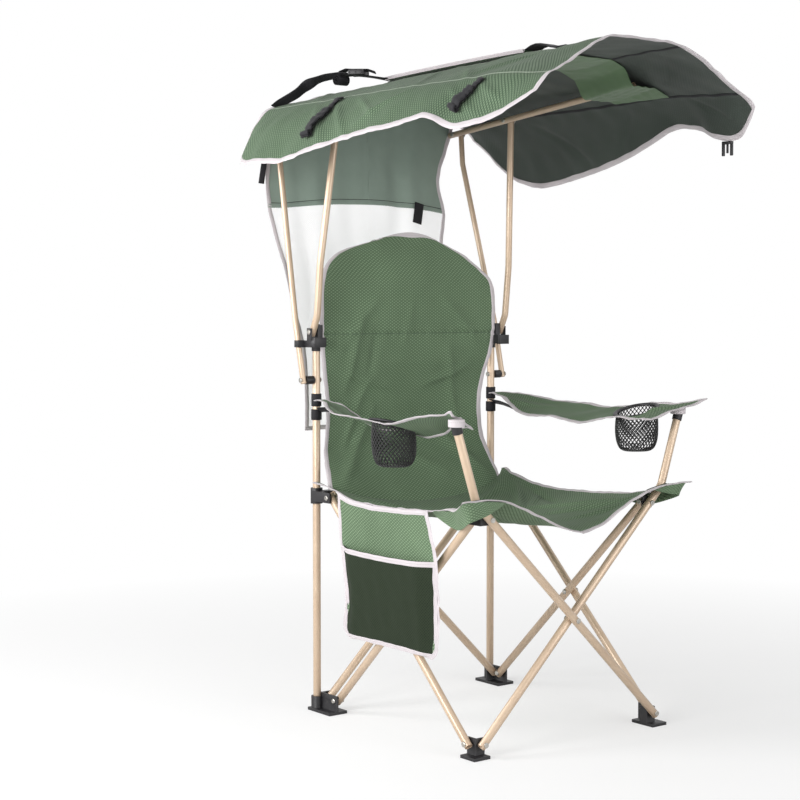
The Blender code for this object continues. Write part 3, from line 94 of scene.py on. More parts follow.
class Side(Enum):
    """The two sides of the chair, as the sign of X."""

    RIGHT = -1
    LEFT = 1

    @property
    def label(self) -> str:
        """The word used in the frame's names."""
        return self.name.lower()


@dataclass(frozen=True)
class Plan:
    """Where the folding frame's pins, posts and rails stand."""

    gap: float = 0.0003
    tube: float = 0.0080
    wall: float = 0.0012
    bend: float = 0.0300
    tube_end: float = 0.0070
    cross: float = 0.6000
    run: float = 0.4300
    low: float = 0.0270
    pitch: float = 0.0170
    plate: float = 0.0045
    post_rise: float = 0.3246
    canopy_rise: float = 0.4620
    toe: float = 0.0825
    rail_slope: float = 0.0745
    cheek: float = 0.0013
    post_tube: float = 0.0070
    strut_tube: float = 0.0060
    rail_tube: float = 0.0065
    link_back: float = 0.0120
    link_rise: float = 0.0110
    strut_drop: float = 0.0870
    shift: float = 0.0140
    inner_out: float = 0.0030
    post_out: float = 0.0200
    post_back: float = 0.0530
    lug: float = 0.0035
    canopy_lean: float = 0.0720
    strut_out: float = 0.0157
    strut_reach: float = 0.1200
    strut_splay: float = 0.0130
    rail_in: float = 0.0215
    top_in: float = 0.0065

    @property
    def high(self) -> float:
        """Height of the upper pins."""
        return self.low + math.sqrt(self.cross**2 - self.run**2)

    @property
    def mid(self) -> float:
        """Height of the crossings."""
        return (self.low + self.high) / 2

    @property
    def front_y(self) -> float:
        """The side scissors' front pins."""
        return self.shift - self.run / 2

    @property
    def rear_y(self) -> float:
        """The side scissors' rear pins."""
        return self.front_y + self.run

    @property
    def pin_x(self) -> float:
        """The cross scissors' pins."""
        return self.run / 2

    @property
    def inner_x(self) -> float:
        """The inner side tubes."""
        return self.pin_x + self.inner_out

    @property
    def outer_x(self) -> float:
        """The outer side tubes."""
        return self.inner_x + self.pitch

    @property
    def post_x(self) -> float:
        """The back posts, sideways."""
        return self.pin_x + self.post_out

    @property
    def post_y(self) -> float:
        """The back posts, along the chair."""
        return self.rear_y + self.post_back

    @property
    def post_top(self) -> float:
        """The back posts' tops."""
        return self.high + self.post_rise

    @property
    def end_reach(self) -> float:
        """How far a side tube's end reaches past its pin."""
        angle = math.acos(self.run / self.cross)
        return self.tube_end * math.cos(angle) + self.tube * math.sin(angle)

    @property
    def front_back_y(self) -> float:
        """The front tube nearer the seat."""
        return self.front_y - self.end_reach - self.lug - self.tube - 2 * self.gap

    @property
    def front_fore_y(self) -> float:
        """The foremost front tube."""
        return self.front_back_y - self.pitch

    @property
    def rear_fore_y(self) -> float:
        """The rear tube nearer the seat."""
        return self.rear_y + self.end_reach + self.tube + 2 * self.gap

    @property
    def rear_back_y(self) -> float:
        """The rearmost tube."""
        return self.rear_fore_y + self.pitch

    @property
    def top_y(self) -> float:
        """The canopy posts' top pins, along the chair."""
        return self.post_y - self.canopy_lean

    @property
    def top_z(self) -> float:
        """The canopy posts' top pins, upwards."""
        return self.post_top + self.canopy_rise

    @property
    def canopy_post_x(self) -> float:
        """The canopy posts' feet, sideways."""
        return self.post_x + self.tube + 2 * self.gap + self.cheek + self.post_tube

    @property
    def strut_x(self) -> float:
        """The rear struts' feet, sideways."""
        return self.canopy_post_x + self.strut_out

    @property
    def strut_top(self) -> Spot:
        """The rear struts' top pins on the left side."""
        y = self.post_y + self.strut_reach
        return self.post_x + self.strut_splay, y, self.top_z - self.rail_slope * (y - self.top_y)

    def rail(self, y: float) -> Vector:
        """The left canopy rail's middle at one place along the chair."""
        ahead = self.top_y - y
        return Vector((self.post_x - self.rail_in - self.toe * ahead, y, self.top_z + self.rail_slope * ahead))


PLAN = Plan()


def linear(code: str) -> tuple[float, float, float, float]:
    """An sRGB hex colour as linear values for a shader.

    Args:
        code: six hex digits after a hash.

    Returns:
        Red, green, blue and alpha.
    """
    parts = [int(code[n : n + 2], 16) / 255 for n in (1, 3, 5)]
    return (*(p / 12.92 if p <= 0.04045 else ((p + 0.055) / 1.055) ** 2.4 for p in parts), 1.0)


class Drawing:
    """The node tree of a material or of the world, as it is drawn."""

    def __init__(self, owner: bpy.types.Material | bpy.types.World) -> None:
        """Turn the owner's nodes on."""
        owner.use_nodes = True
        self.tree = owner.node_tree

    def fill(self, node: bpy.types.Node, inputs: dict | Sequence[object]) -> None:
        """Give a node's inputs their values and links.

        Args:
            node: the node.
            inputs: for each input, in order or by name or number: a value, a hex colour, a socket, or
                a node whose first output it takes.
        """
        for key, value in inputs.items() if isinstance(inputs, dict) else enumerate(inputs):
            if isinstance(value, bpy.types.Node):
                value = value.outputs[0]
            if isinstance(value, bpy.types.NodeSocket):
                self.tree.links.new(value, node.inputs[key])
            else:
                node.inputs[key].default_value = linear(value) if isinstance(value, str) else value

    def add(self, kind: str, inputs: dict | Sequence[object] = (), **settings: object) -> bpy.types.Node:
        """Add one node with its settings, values and links.

        Args:
            kind: the node's type, without its prefix.
            inputs: what its inputs take, as for fill.
            settings: the node's own properties.

        Returns:
            The new node.
        """
        made = self.tree.nodes.new(f"ShaderNode{kind}")
        for key, value in settings.items():
            setattr(made, key, value)
        self.fill(made, inputs)
        return made

    def waves(self, across: float, along: float, slanted: bool = False) -> list[bpy.types.Node]:
        """Two sets of waves over the piece's own map, which is in metres.

        Args:
            across: one wave's length across the map.
            along: one wave's length along it.
            slanted: whether the two sets cross as a diamond.

        Returns:
            Both sets, each from 0 to 0.5.
        """
        split = self.add("SeparateXYZ", [self.add("TexCoord").outputs["UV"]]).outputs
        axes = [self.add("Math", pair, operation="DIVIDE") for pair in zip(split, (across, along))]
        if slanted:
            axes = [self.add("Math", axes, operation=way) for way in ("ADD", "SUBTRACT")]
        return [self.add("Math", [axis, 0.5], operation="PINGPONG") for axis in axes]


@dataclass(frozen=True)
class Finish:
    """A surface finish: its name and its main colour."""

    name: str
    colour: str
    roughness: float = 0.5

    def blank(self) -> tuple[bpy.types.Material, Drawing, bpy.types.Node]:
        """A new material with its shader's constants set.

        Returns:
            The material, its drawing and its Principled shader.
        """
        made = bpy.data.materials.new(self.name)
        drawing = Drawing(made)
        shader = drawing.tree.nodes["Principled BSDF"]
        drawing.fill(shader, {"Base Color": self.colour, "Roughness": self.roughness})
        return made, drawing, shader

    def make(self) -> bpy.types.Material:
        """The finished material. Each kind of finish draws its own."""
        return self.blank()[0]


@dataclass(frozen=True)
class PowderCoat(Finish):
    """Champagne powder coat on drawn steel tube: satin, with a fine orange peel."""

    flake: str = "#cab59d"

    def make(self) -> bpy.types.Material:
        """Satin coat over steel, a little lighter where the coat is thin."""
        made, drawing, shader = self.blank()
        add, place = drawing.add, drawing.add("TexCoord").outputs["Object"]
        # Orange peel of 2.5 mm, and slow patches of 60 mm where the spray lay thicker
        peel = add("TexNoise", {"Vector": place, "Scale": 400.0, "Detail": 2.0})
        patch = add("TexNoise", {"Vector": place, "Scale": 16.0, "Detail": 3.0})
        drawing.fill(shader, {
            "Base Color": add("Mix", {0: patch, 6: self.colour, 7: self.flake}, data_type="RGBA").outputs[2],
            "Roughness": add("MapRange", {0: patch, 3: 0.28, 4: 0.44}),
            "Metallic": 0.25,
            "Coat Weight": 0.25,
            "Coat Roughness": 0.25,
            "Normal": add("Bump", {"Height": peel, "Strength": 0.12, "Distance": 0.0003}),
        })
        return made


@dataclass(frozen=True)
class MouldedNylon(Finish):
    """Black injection-moulded nylon: a soft sheen over a fine spark-eroded grain."""

    dusty: str = "#222123"

    def make(self) -> bpy.types.Material:
        """Moulded grain of 0.7 mm, and dust that greys it in slow patches."""
        made, drawing, shader = self.blank()
        add, place = drawing.add, drawing.add("TexCoord").outputs["Object"]
        grain = add("TexVoronoi", {"Vector": place, "Scale": 1400.0}).outputs["Distance"]
        dust = add("TexNoise", {"Vector": place, "Scale": 45.0, "Detail": 4.0})
        drawing.fill(shader, {
            "Base Color": add("Mix", {0: dust, 6: self.colour, 7: self.dusty}, data_type="RGBA").outputs[2],
            "Roughness": add("MapRange", {0: dust, 3: 0.38, 4: 0.58}),
            "Normal": add("Bump", {"Height": grain, "Strength": 0.18, "Distance": 0.0003}),
        })
        return made


@dataclass(frozen=True)
class ZincPlate(Finish):
    """Zinc-plated mild steel, pressed: bright, with faint drawing marks."""

    def make(self) -> bpy.types.Material:
        """Plated metal with a 1.5 mm mottle."""
        made, drawing, shader = self.blank()
        add, place = drawing.add, drawing.add("TexCoord").outputs["Object"]
        mottle = add("TexNoise", {"Vector": place, "Scale": 650.0, "Detail": 3.0})
        drawing.fill(shader, {
            "Roughness": add("MapRange", {0: mottle, 3: 0.22, 4: 0.42}),
            "Metallic": 1.0,
            "Normal": add("Bump", {"Height": mottle, "Strength": 0.08, "Distance": 0.0002}),
        })
        return made


@dataclass(frozen=True)
class DiamondPolyester(Finish):
    """Woven 600-denier polyester with a small embossed diamond, dyed, with a little sheen."""

    # Colour of the emboss's grooves: painted shade in its recesses
    groove: str = "#3d6440"
    cell: tuple[float, float] = (0.0098, 0.0062)
    thread: float = 0.0013
    sheen: float = 0.25
    depth: float = 0.0007
    emboss: float = 0.45

    def make(self) -> bpy.types.Material:
        """The diamond follows the cloth's own map."""
        made, drawing, shader = self.blank()
        add, place = drawing.add, drawing.add("TexCoord").outputs["Object"]
        ridge = add("Math", drawing.waves(*self.cell, slanted=True), operation="MINIMUM")
        diamond = add("MapRange", [add("Math", [ridge, 2.0], operation="MULTIPLY"), 0.12, 0.6])
        # Threads at 1.3 mm, coarser than the real 0.45 mm so that they show
        weave = add("Math", drawing.waves(self.thread, self.thread), operation="ADD")
        relief = add("Math", [diamond, add("Math", [weave, 0.35], operation="MULTIPLY")], operation="ADD")
        # Slow shade of the dye, and a slight fading in patches of 120 mm
        shade = add("TexNoise", {"Vector": place, "Scale": 8.0, "Detail": 4.0})
        fade = add("MapRange", [shade, 0.3, 0.7, 0.9, 1.1])
        # The grooves take the darker groove colour: painted shade in the emboss's recesses
        tone = add("Mix", {0: diamond, 6: self.groove, 7: self.colour}, data_type="RGBA").outputs[2]
        drawing.fill(shader, {
            "Base Color": add("HueSaturation", {"Value": fade, "Color": tone}),
            "Specular IOR Level": 0.14,
            "Sheen Weight": self.sheen,
            "Sheen Roughness": 0.45,
            "Normal": add("Bump", {"Height": relief, "Strength": self.emboss, "Distance": self.depth}),
        })
        return made


@dataclass(frozen=True)
class PlainWeave(Finish):
    """Plain woven cloth or tape: two sets of threads, seen as a fine grid."""

    thread: float = 0.0014
    shade: str = "#2a2a2a"
    contrast: float = 0.5
    sheen: float = 0.2
    stitched: bool = False
    stitch: float = 0.0034
    stitch_half: float = 0.00055
    stitch_line: float = 0.0050
    stitch_colour: str = "#8f8a88"

    def make(self) -> bpy.types.Material:
        """The threads follow the piece's own map."""
        made, drawing, shader = self.blank()
        add, place = drawing.add, drawing.add("TexCoord").outputs
        height = add("Math", drawing.waves(self.thread, self.thread), operation="ADD")
        shade = add("TexNoise", {"Vector": place["Object"], "Scale": 30.0, "Detail": 5.0})
        share = add("Math", [shade, self.contrast], operation="MULTIPLY")
        tone = add("Mix", {0: share, 6: self.colour, 7: self.shade}, data_type="RGBA").outputs[2]
        if self.stitched:
            # One row of lockstitches down the middle of the tape
            split = add("SeparateXYZ", [place["UV"]]).outputs
            beat = add("Math", [add("Math", [split[0], self.stitch], operation="DIVIDE")], operation="FRACT")
            dash = add("Math", [beat, 0.68], operation="LESS_THAN")
            off = add("Math", [split[1], self.stitch_line], operation="SUBTRACT")
            off = add("Math", [off], operation="ABSOLUTE")
            row = add("Math", [off, self.stitch_half], operation="LESS_THAN")
            seen = add("Math", [add("Math", [dash, row], operation="MULTIPLY"), 0.45], operation="MULTIPLY")
            tone = add("Mix", {0: seen, 6: tone, 7: self.stitch_colour}, data_type="RGBA").outputs[2]
            sunk = add("Math", [row, 1.5], operation="MULTIPLY")
            height = add("Math", [height, sunk], operation="SUBTRACT")
        drawing.fill(shader, {
            "Base Color": tone,
            "Specular IOR Level": 0.3,
            "Sheen Weight": self.sheen,
            "Normal": add("Bump", {"Height": height, "Strength": 0.4, "Distance": 0.0004}),
        })
        return made


@dataclass(frozen=True)
class OpenMesh(Finish):
    """Warp-knitted polyester mesh with small round holes that let the light through."""

    pitch: float = 0.0042
    hole: float = 0.30
    shade: str = "#c4c6cc"

    def make(self) -> bpy.types.Material:
        """Holes in offset rows, drawn two or three times coarser than the real 2 mm so that they show."""
        made, drawing, shader = self.blank()
        add = drawing.add
        ridge = add("Math", drawing.waves(self.pitch, self.pitch, slanted=True), operation="MINIMUM")
        level = add("Math", [ridge, 2.0], operation="MULTIPLY")
        # Towards each hole the threads turn to the shade colour: painted shade round the holes
        drawing.fill(shader, {
            "Base Color": add("Mix", {0: level, 6: self.colour, 7: self.shade}, data_type="RGBA").outputs[2],
            "Alpha": add("Math", [level, 1.0 - self.hole], operation="LESS_THAN"),
            "Specular IOR Level": 0.2,
            "Normal": add("Bump", {"Height": level, "Strength": 0.4, "Distance": 0.0006}),
        })
        return made


class Wardrobe:
    """Every finish on the chair, each made into a material once."""

    def __init__(self) -> None:
        """List the finishes by the name that the pieces ask for."""
        self.finishes: dict[str, Finish] = {
            "steel": PowderCoat("champagne_powder_coated_steel", "#b59c84", 0.36),
            "nylon": MouldedNylon("black_moulded_nylon", "#0e0d11", 0.46),
            "zinc": ZincPlate("zinc_plated_steel_rivet", "#b9b6b0", 0.3),
            # Each groove colour below is painted shade in the emboss's recesses
            "cloth": DiamondPolyester(
                "green_embossed_polyester", "#74886d", 0.8, groove="#4b5e47", sheen=0.06
            ),
            # The roof is a darker copy of the same cloth, with darker grooves: painted shade on the canopy's
            # top and on the strap pads
            "roof": DiamondPolyester(
                "green_embossed_polyester_roof", "#70826a", 0.8, groove="#384b39", sheen=0.06
            ),
            "coated": DiamondPolyester(
                "pu_coated_underside", "#414843", 0.5, groove="#3a403b", sheen=0.1, emboss=0.15
            ),
            "band": PlainWeave("green_polyester_lining_band", "#57704f", 0.6, shade="#42593c"),
            # Paler than the lining's own dark green: painted light shining through the flap from behind
            "lining": PlainWeave("dark_green_polyester_lining", "#86958a", 0.65, shade="#6f7f74"),
            "seam": PlainWeave("dark_green_polyester_thread", "#4b6149", 0.6, thread=0.0016),
            "thread": PlainWeave("pale_polyester_thread", "#a9b8a2", 0.6, thread=0.0016),
            "tape": PlainWeave(
                "grey_grosgrain_binding", "#c6bfc2", 0.8, thread=0.0012, shade="#aca5a8", stitched=True
            ),
            "webbing": PlainWeave(
                "black_polypropylene_webbing", "#121115", 0.7, thread=0.0022, shade="#1d1c21", sheen=0.05
            ),
            "mesh": OpenMesh("white_knitted_mesh", "#ffffff", 0.75, hole=0.87),
            "pocket": OpenMesh(
                "dark_green_pocket_mesh", "#2b3526", 0.9, pitch=0.0056, hole=0.06, shade="#0d120c"
            ),
            "net": PlainWeave("black_knotted_net_cord", "#08080a", 0.6, thread=0.0012),
        }
        self.made: dict[str, bpy.types.Material] = {}

    def __getitem__(self, key: str) -> bpy.types.Material:
        """The material of one finish, made when it is first asked for."""
        if key not in self.made:
            self.made[key] = self.finishes[key].make()
        return self.made[key]


WARDROBE = Wardrobe()
# Cloth hung between a back post and the front corner of its side, and the two bodies at its ends; such cloth
# stays where it is built
HUNG = {"right_hung": ("right_back", "right_inner"), "left_hung": ("left_back", "left_inner")}
# The canopy's cloth and its right rail are one body, and the left rail turns on its own
RAIL_BODY = {Side.RIGHT: "canopy", Side.LEFT: "left_rail"}


def deselect() -> None:
    """Leave nothing selected."""
    for item in list(bpy.context.selected_objects):
        item.select_set(False)


def pick(made: Piece) -> None:
    """Select one piece alone and work on it."""
    deselect()
    made.select_set(True)
    bpy.context.view_layer.objects.active = made


def settle(
    made: Piece, finish: str | Sequence[str], body: str, nodes: Sequence[str] = (), slot: str | None = None
) -> Piece:
    """Put a finished piece's place in its mesh, dress it and let it ride.

    Args:
        made: the piece.
        finish: the name of its finish, or several in the order of its slots.
        body: the body that it moves with, or the side that it is hung on.
        nodes: the frame's nodes that it stands for.
        slot: not used.

    Returns:
        The piece.
    """
    pick(made)
    bpy.ops.object.transform_apply(location=True, rotation=True, scale=True)
    for number, key in enumerate([finish] if isinstance(finish, str) else finish):
        if number < len(made.data.materials):
            made.data.materials[number] = WARDROBE[key]
        else:
            made.data.materials.append(WARDROBE[key])
    if body in HUNG:
        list(HUNG[body])
        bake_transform(made)
    else:
        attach(made, body)
    if nodes:
        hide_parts(*nodes)
    if slot or nodes:
        slot or nodes[0]
    log.info("%s: %d faces, rides on %s", made.name, len(made.data.polygons), body)
    return made


def apply_all(made: Piece) -> None:
    """Apply every modifier of a piece, in order."""
    pick(made)
    for step in list(made.modifiers):
        bpy.ops.object.modifier_apply(modifier=step.name)


def smooth(made: Piece, degrees: float = 40.0) -> None:
    """Shade a piece smooth, but for edges sharper than an angle."""
    pick(made)
    bpy.ops.object.shade_smooth_by_angle(angle=math.radians(degrees))


def gather(*pieces: Piece) -> None:
    """Give each soft piece a mesh of its own."""
    for piece in pieces:
        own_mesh(piece)


def runs(places: np.ndarray) -> np.ndarray:
    """How far along a line each of its places lies."""
    return np.concatenate([[0.0], np.cumsum(np.linalg.norm(np.diff(places, axis=0), axis=1))])


def ring(start: float, count: int) -> list[np.ndarray]:
    """Level directions once round from an angle, the last the same as the first."""
    return [np.array((math.cos(t), math.sin(t), 0.0)) for t in np.linspace(start, start + math.tau, count + 1)]


def mesh_piece(name: str, bm: bmesh.types.BMesh) -> Piece:
    """A linked object from a finished bmesh."""
    data = bpy.data.meshes.new(name)
    bm.to_mesh(data)
    bm.free()
    made = bpy.data.objects.new(name, data)
    bpy.context.scene.collection.objects.link(made)
    return made


def swept(
    name: str,
    rings: Sequence[Sequence[Sequence[float]]],
    measures: Sequence[Sequence[tuple[float, float]]],
    closed: bool,
) -> Piece:
    """A skin over rings of points, with a map in metres.

    Args:
        name: the piece's name.
        rings: the section's points at each step, the same number in each.
        measures: the map's place for each of those points, with one more to close each ring.
        closed: whether the last ring meets the first.

    Returns:
        The piece, capped at both ends when it is open.
    """
    bm = bmesh.new()
    uv = bm.loops.layers.uv.new("cloth")
    rows = [[bm.verts.new(p) for p in ring] for ring in rings]
    count = len(rows[0])
    steps = len(rows) if closed else len(rows) - 1
    for n in range(steps):
        here, there = rows[n], rows[(n + 1) % len(rows)]
        far = measures[n + 1] if n + 1 < len(measures) else measures[n]
        for k in range(count):
            k2 = (k + 1) % count
            face = bm.faces.new((here[k], there[k], there[k2], here[k2]))
            for loop, place in zip(face.loops, (measures[n][k], far[k], far[k + 1], measures[n][k + 1])):
                loop[uv].uv = place
    if not closed:
        bm.faces.new(rows[0])
        bm.faces.new(list(reversed(rows[-1])))
    bmesh.ops.recalc_face_normals(bm, faces=bm.faces)
    made = mesh_piece(name, bm)
    smooth(made, 60)
    return made


def ripple(x: np.ndarray, y: np.ndarray, length: float, seed: int) -> np.ndarray:
    """A gentle uneven swell, from -1 to 1.

    Args:
        x: places across, in metres.
        y: places along, in metres.
        length: the usual distance between crests, in metres.
        seed: which swell.

    Returns:
        The swell's height at each place.
    """
    made = np.random.default_rng(seed)
    total = np.zeros_like(x)
    for _ in range(7):
        angle, phase, stretch = made.uniform(0, math.tau), made.uniform(0, math.tau), made.uniform(0.7, 1.5)
        wave = math.tau / (length * stretch)
        total += np.sin(wave * (x * math.cos(angle) + y * math.sin(angle)) + phase)
    return total / 4.5


def crease(
    x: np.ndarray, y: np.ndarray, start: tuple[float, float], end: tuple[float, float], width: float
) -> np.ndarray:
    """A fold that swells between two places and dies out at both.

    Args:
        x: places across, in metres.
        y: places along, in metres.
        start: where the fold begins.
        end: where it ends.
        width: half its width in metres.

    Returns:
        The fold's height at each place, 1 at its crest.
    """
    way = np.array(end) - np.array(start)
    length = float(np.hypot(*way))
    way = way / length
    on = (x - start[0]) * way[0] + (y - start[1]) * way[1]
    off = (x - start[0]) * -way[1] + (y - start[1]) * way[0]
    share = np.clip(on / length, 0, 1)
    return np.exp(-((off / width) ** 2)) * np.sin(math.pi * share) ** 0.7


def creases(
    rise: np.ndarray, x: np.ndarray, y: np.ndarray, folds: Sequence[Fold], gain: float = 1.0
) -> np.ndarray:
    """A relief with folds added to it.

    Args:
        rise: the relief so far.
        x: places across, in metres.
        y: places along, in metres.
        folds: each fold's start, end, half width and height.
        gain: what every height is multiplied by.

    Returns:
        The relief with its folds.
    """
    for start, end, width, height in folds:
        rise = rise + gain * height * crease(x, y, start, end, width)
    return rise


def eased(low: float, high: float, value: float) -> float:
    """0 below low, 1 above high, and an easy curve between."""
    share = min(1.0, max(0.0, (value - low) / (high - low)))
    return share * share * (3 - 2 * share)


def flowing(table: Sequence[Sequence[float]], value: float) -> np.ndarray:
    """Read a table along a smooth curve through all its rows.

    Args:
        table: rows in rising order, each with its place first.
        value: the place to read.

    Returns:
        The row's other values at that place.
    """
    rows = np.array(table, float)
    value = min(max(value, rows[0, 0]), rows[-1, 0])
    n = int(np.clip(np.searchsorted(rows[:, 0], value, side="right") - 1, 0, len(rows) - 2))
    low, high = rows[n], rows[n + 1]
    gap = high[0] - low[0]
    before, after = rows[max(n - 1, 0)], rows[min(n + 2, len(rows) - 1)]
    lean_in = (high[1:] - before[1:]) / (high[0] - before[0]) * gap
    lean_out = (after[1:] - low[1:]) / (after[0] - low[0]) * gap
    t = (value - low[0]) / gap
    return (
        (2 * t**3 - 3 * t**2 + 1) * low[1:]
        + (t**3 - 2 * t**2 + t) * lean_in
        + (3 * t**2 - 2 * t**3) * high[1:]
        + (t**3 - t**2) * lean_out
    )


class Edge(Enum):
    """The four edges of a sheet, each with the step that leads into the cloth."""

    START = (1, 0)
    END = (-1, 0)
    LOW = (0, 1)
    HIGH = (0, -1)


@dataclass
class Cloth:
    """One sheet of cloth: its shape, its folds, its thickness and its bound edges."""

    name: str
    shape: Shape
    cells: tuple[int, int]
    relief: Relief | None = None
    thickness: float = 0.0010
    flip: bool = False
    pucker: float = 0.0011
    seed: int = 1
    points: np.ndarray = field(init=False)
    normals: np.ndarray = field(init=False)
    measure: np.ndarray = field(init=False)

    def __post_init__(self) -> None:
        """Lay out the sheet's points, their normals and their flat map."""
        across, along = self.cells
        grid = np.array(
            [[self.shape(i / across, j / along) for i in range(across + 1)] for j in range(along + 1)], float
        )
        self.measure = self.flat_map(grid)
        self.normals = self.surface_normals(grid)
        x, y = self.measure[..., 0], self.measure[..., 1]
        rise = self.relief(x, y) if self.relief else np.zeros_like(x)
        # The stitched edge draws up in short uneven waves of 15 to 40 mm
        reach = np.minimum(np.minimum(x - x[:, :1], x[:, -1:] - x), np.minimum(y, y[-1:] - y))
        rise = rise + self.pucker * np.exp(-((reach / 0.014) ** 2)) * ripple(x, y, 0.032, self.seed + 90)
        self.points = grid + self.normals * rise[..., None]
        self.normals = self.surface_normals(self.points)

    def flat_map(self, grid: np.ndarray) -> np.ndarray:
        """Each point's place on the flat cloth, from its middle line and from its first row."""
        across = np.array([runs(row) for row in grid])
        across -= across[:, -1:] / 2
        down = runs(grid[:, grid.shape[1] // 2])
        return np.stack([across, np.repeat(down[:, None], grid.shape[1], axis=1)], axis=2)

    def surface_normals(self, grid: np.ndarray) -> np.ndarray:
        """The sheet's outward normal at each point."""
        normal = np.cross(np.gradient(grid, axis=1), np.gradient(grid, axis=0))
        normal /= np.maximum(np.linalg.norm(normal, axis=2, keepdims=True), 1e-12)
        return -normal if self.flip else normal

    def build(self, hole: tuple[float, float, float, float] | None = None) -> Piece:
        """The sheet as a thin closed mesh with its map.

        Args:
            hole: the plan place and the two radii of an oval hole, if it has one.

        Returns:
            The sheet, its second slot on its underside.
        """
        bm = bmesh.new()
        uv = bm.loops.layers.uv.new("cloth")
        rows, columns = self.points.shape[:2]
        verts = [[bm.verts.new(self.points[j, i]) for i in range(columns)] for j in range(rows)]
        for j in range(rows - 1):
            for i in range(columns - 1):
                corners = [(j, i), (j, i + 1), (j + 1, i + 1), (j + 1, i)]
                if self.flip:
                    corners.reverse()
                face = bm.faces.new([verts[a][b] for a, b in corners])
                for loop, (a, b) in zip(face.loops, corners):
                    loop[uv].uv = self.measure[a, b]
        if hole:
            self.cut_hole(bm, hole)
        made = mesh_piece(self.name, bm)
        self.area = sum(face.area for face in made.data.polygons)
        skin = made.modifiers.new("thickness", "SOLIDIFY")
        skin.thickness, skin.offset, skin.material_offset = self.thickness, 0.0, 1
        skin.use_even_offset = True
        made.data.materials.append(None)
        made.data.materials.append(None)
        apply_all(made)
        smooth(made, 70)
        return made

    def cut_hole(self, bm: bmesh.types.BMesh, hole: tuple[float, float, float, float]) -> None:
        """Open an oval hole and draw its rim onto the oval."""
        x, y, wide, long = hole

        def reach(place: Vector) -> float:
            """How far out a place lies, 1 on the oval itself."""
            return math.hypot((place.x - x) / wide, (place.y - y) / long)

        inside = [f for f in bm.faces if reach(f.calc_center_median()) < 1]
        rim = {v for f in inside for v in f.verts}
        bmesh.ops.delete(bm, geom=inside, context="FACES")
        for vert in [v for v in bm.verts if v in rim and v.is_valid and v.link_faces]:
            share = reach(vert.co)
            vert.co.x, vert.co.y = x + (vert.co.x - x) / share, y + (vert.co.y - y) / share

    def flat(self) -> tuple[float, float]:
        """The width and length that the sheet was cut to."""
        widths = np.linalg.norm(np.diff(self.points, axis=1), axis=2).sum(axis=1)
        lengths = np.linalg.norm(np.diff(self.points, axis=0), axis=2).sum(axis=0)
        return float(widths.max()), float(lengths.max())

    def declare(
        self, made: Piece, held: str, rests_on: Sequence[str], pieces: Sequence[Piece]
    ) -> None:
        """Work out the size that the sheet was cut to; nothing further is done with it."""
        width, length = self.flat()
        area = min(self.area, width * length)

    def at(self, across: float, along: float) -> tuple[np.ndarray, np.ndarray]:
        """A place on the finished sheet and its normal, by shares."""
        rows, columns = self.points.shape[:2]
        fi, fj = across * (columns - 1), along * (rows - 1)
        i, j = min(int(fi), columns - 2), min(int(fj), rows - 2)
        s, t = fi - i, fj - j
        weights = ((1 - s) * (1 - t), s * (1 - t), (1 - s) * t, s * t)
        spots = ((j, i), (j, i + 1), (j + 1, i), (j + 1, i + 1))
        place = sum(w * self.points[spot] for w, spot in zip(weights, spots))
        normal = sum(w * self.normals[spot] for w, spot in zip(weights, spots))
        return place, normal / np.linalg.norm(normal)

    def walk(self, *edges: tuple[Edge, bool]) -> list[tuple[int, int, int, int]]:
        """The grid points along some of the sheet's edges, end to end.

        Args:
            edges: each edge, and whether it is walked backwards.

        Returns:
            Each point's row and column, and the step from it into the cloth.
        """
        rows, columns = self.points.shape[:2]
        found: list[tuple[int, int, int, int]] = []
        for edge, backwards in edges:
            if edge in (Edge.START, Edge.END):
                row = 0 if edge is Edge.START else rows - 1
                line = [(row, i) for i in range(columns)]
            else:
                column = 0 if edge is Edge.LOW else columns - 1
                line = [(j, column) for j in range(rows)]
            steps = [(*spot, *edge.value) for spot in (reversed(line) if backwards else line)]
            if found and found[-1][:2] == steps[0][:2]:
                corner = found.pop()
                steps[0] = (*corner[:2], corner[2] + steps[0][2], corner[3] + steps[0][3])
            found += steps
        return found

    def bind(
        self, name: str, walk: Sequence[tuple[int, int, int, int]], width: float = 0.0100, seed: int = 1
    ) -> Piece:
        """The folded tape sewn over an edge, lying on the cloth's own curve.

        Args:
            name: the piece's name.
            walk: the edge's points; a ring of them is closed.
            width: how far the tape reaches over the cloth on each face.
            seed: which unevenness.

        Returns:
            The tape, closed or capped at both ends.
        """
        walk = list(walk)
        closed = walk[0][:2] == walk[-1][:2]
        if closed:
            last = walk.pop()
            walk[0] = (*walk[0][:2], walk[0][2] + last[2], walk[0][3] + last[3])
        run = runs(np.array([self.points[j, i] for j, i, _, _ in walk]))
        swell = 1 + 0.08 * ripple(run, np.zeros_like(run), 0.045, seed + 60)
        low, high = self.thickness / 2 + 0.0001, self.thickness / 2 + 0.0007
        rings, measures = [], []
        for n, (j, i, dj, di) in enumerate(walk):
            spots = [(j + k * dj, i + k * di) for k in range(6)]
            line = np.array([self.points[spot] for spot in spots])
            lift = np.array([self.normals[spot] for spot in spots])
            depth = runs(line)
            into = (line[1] - line[0]) / depth[1]
            reach = width * swell[n]
            ring = []
            upper = [(reach, low), (reach * 0.94, high), (reach * 0.5, high), (0.0006, high)]
            section = [*upper, (-0.0011, 0.0), *((a, -b) for a, b in reversed(upper))]
            for inset, height in section:
                spot = np.array([np.interp(inset, depth, line[:, c]) for c in range(3)])
                normal = np.array([np.interp(inset, depth, lift[:, c]) for c in range(3)])
                ring.append(spot + normal * height + into * min(inset, 0.0))
            rings.append(ring)
            far = [(run[n], a + (0.02 if b < 0 else 0.0)) for a, b in section]
            measures.append([*far, (run[n], reach + 0.02)])
        measures.append([(run[-1] + 0.004, place[1]) for place in measures[0]])
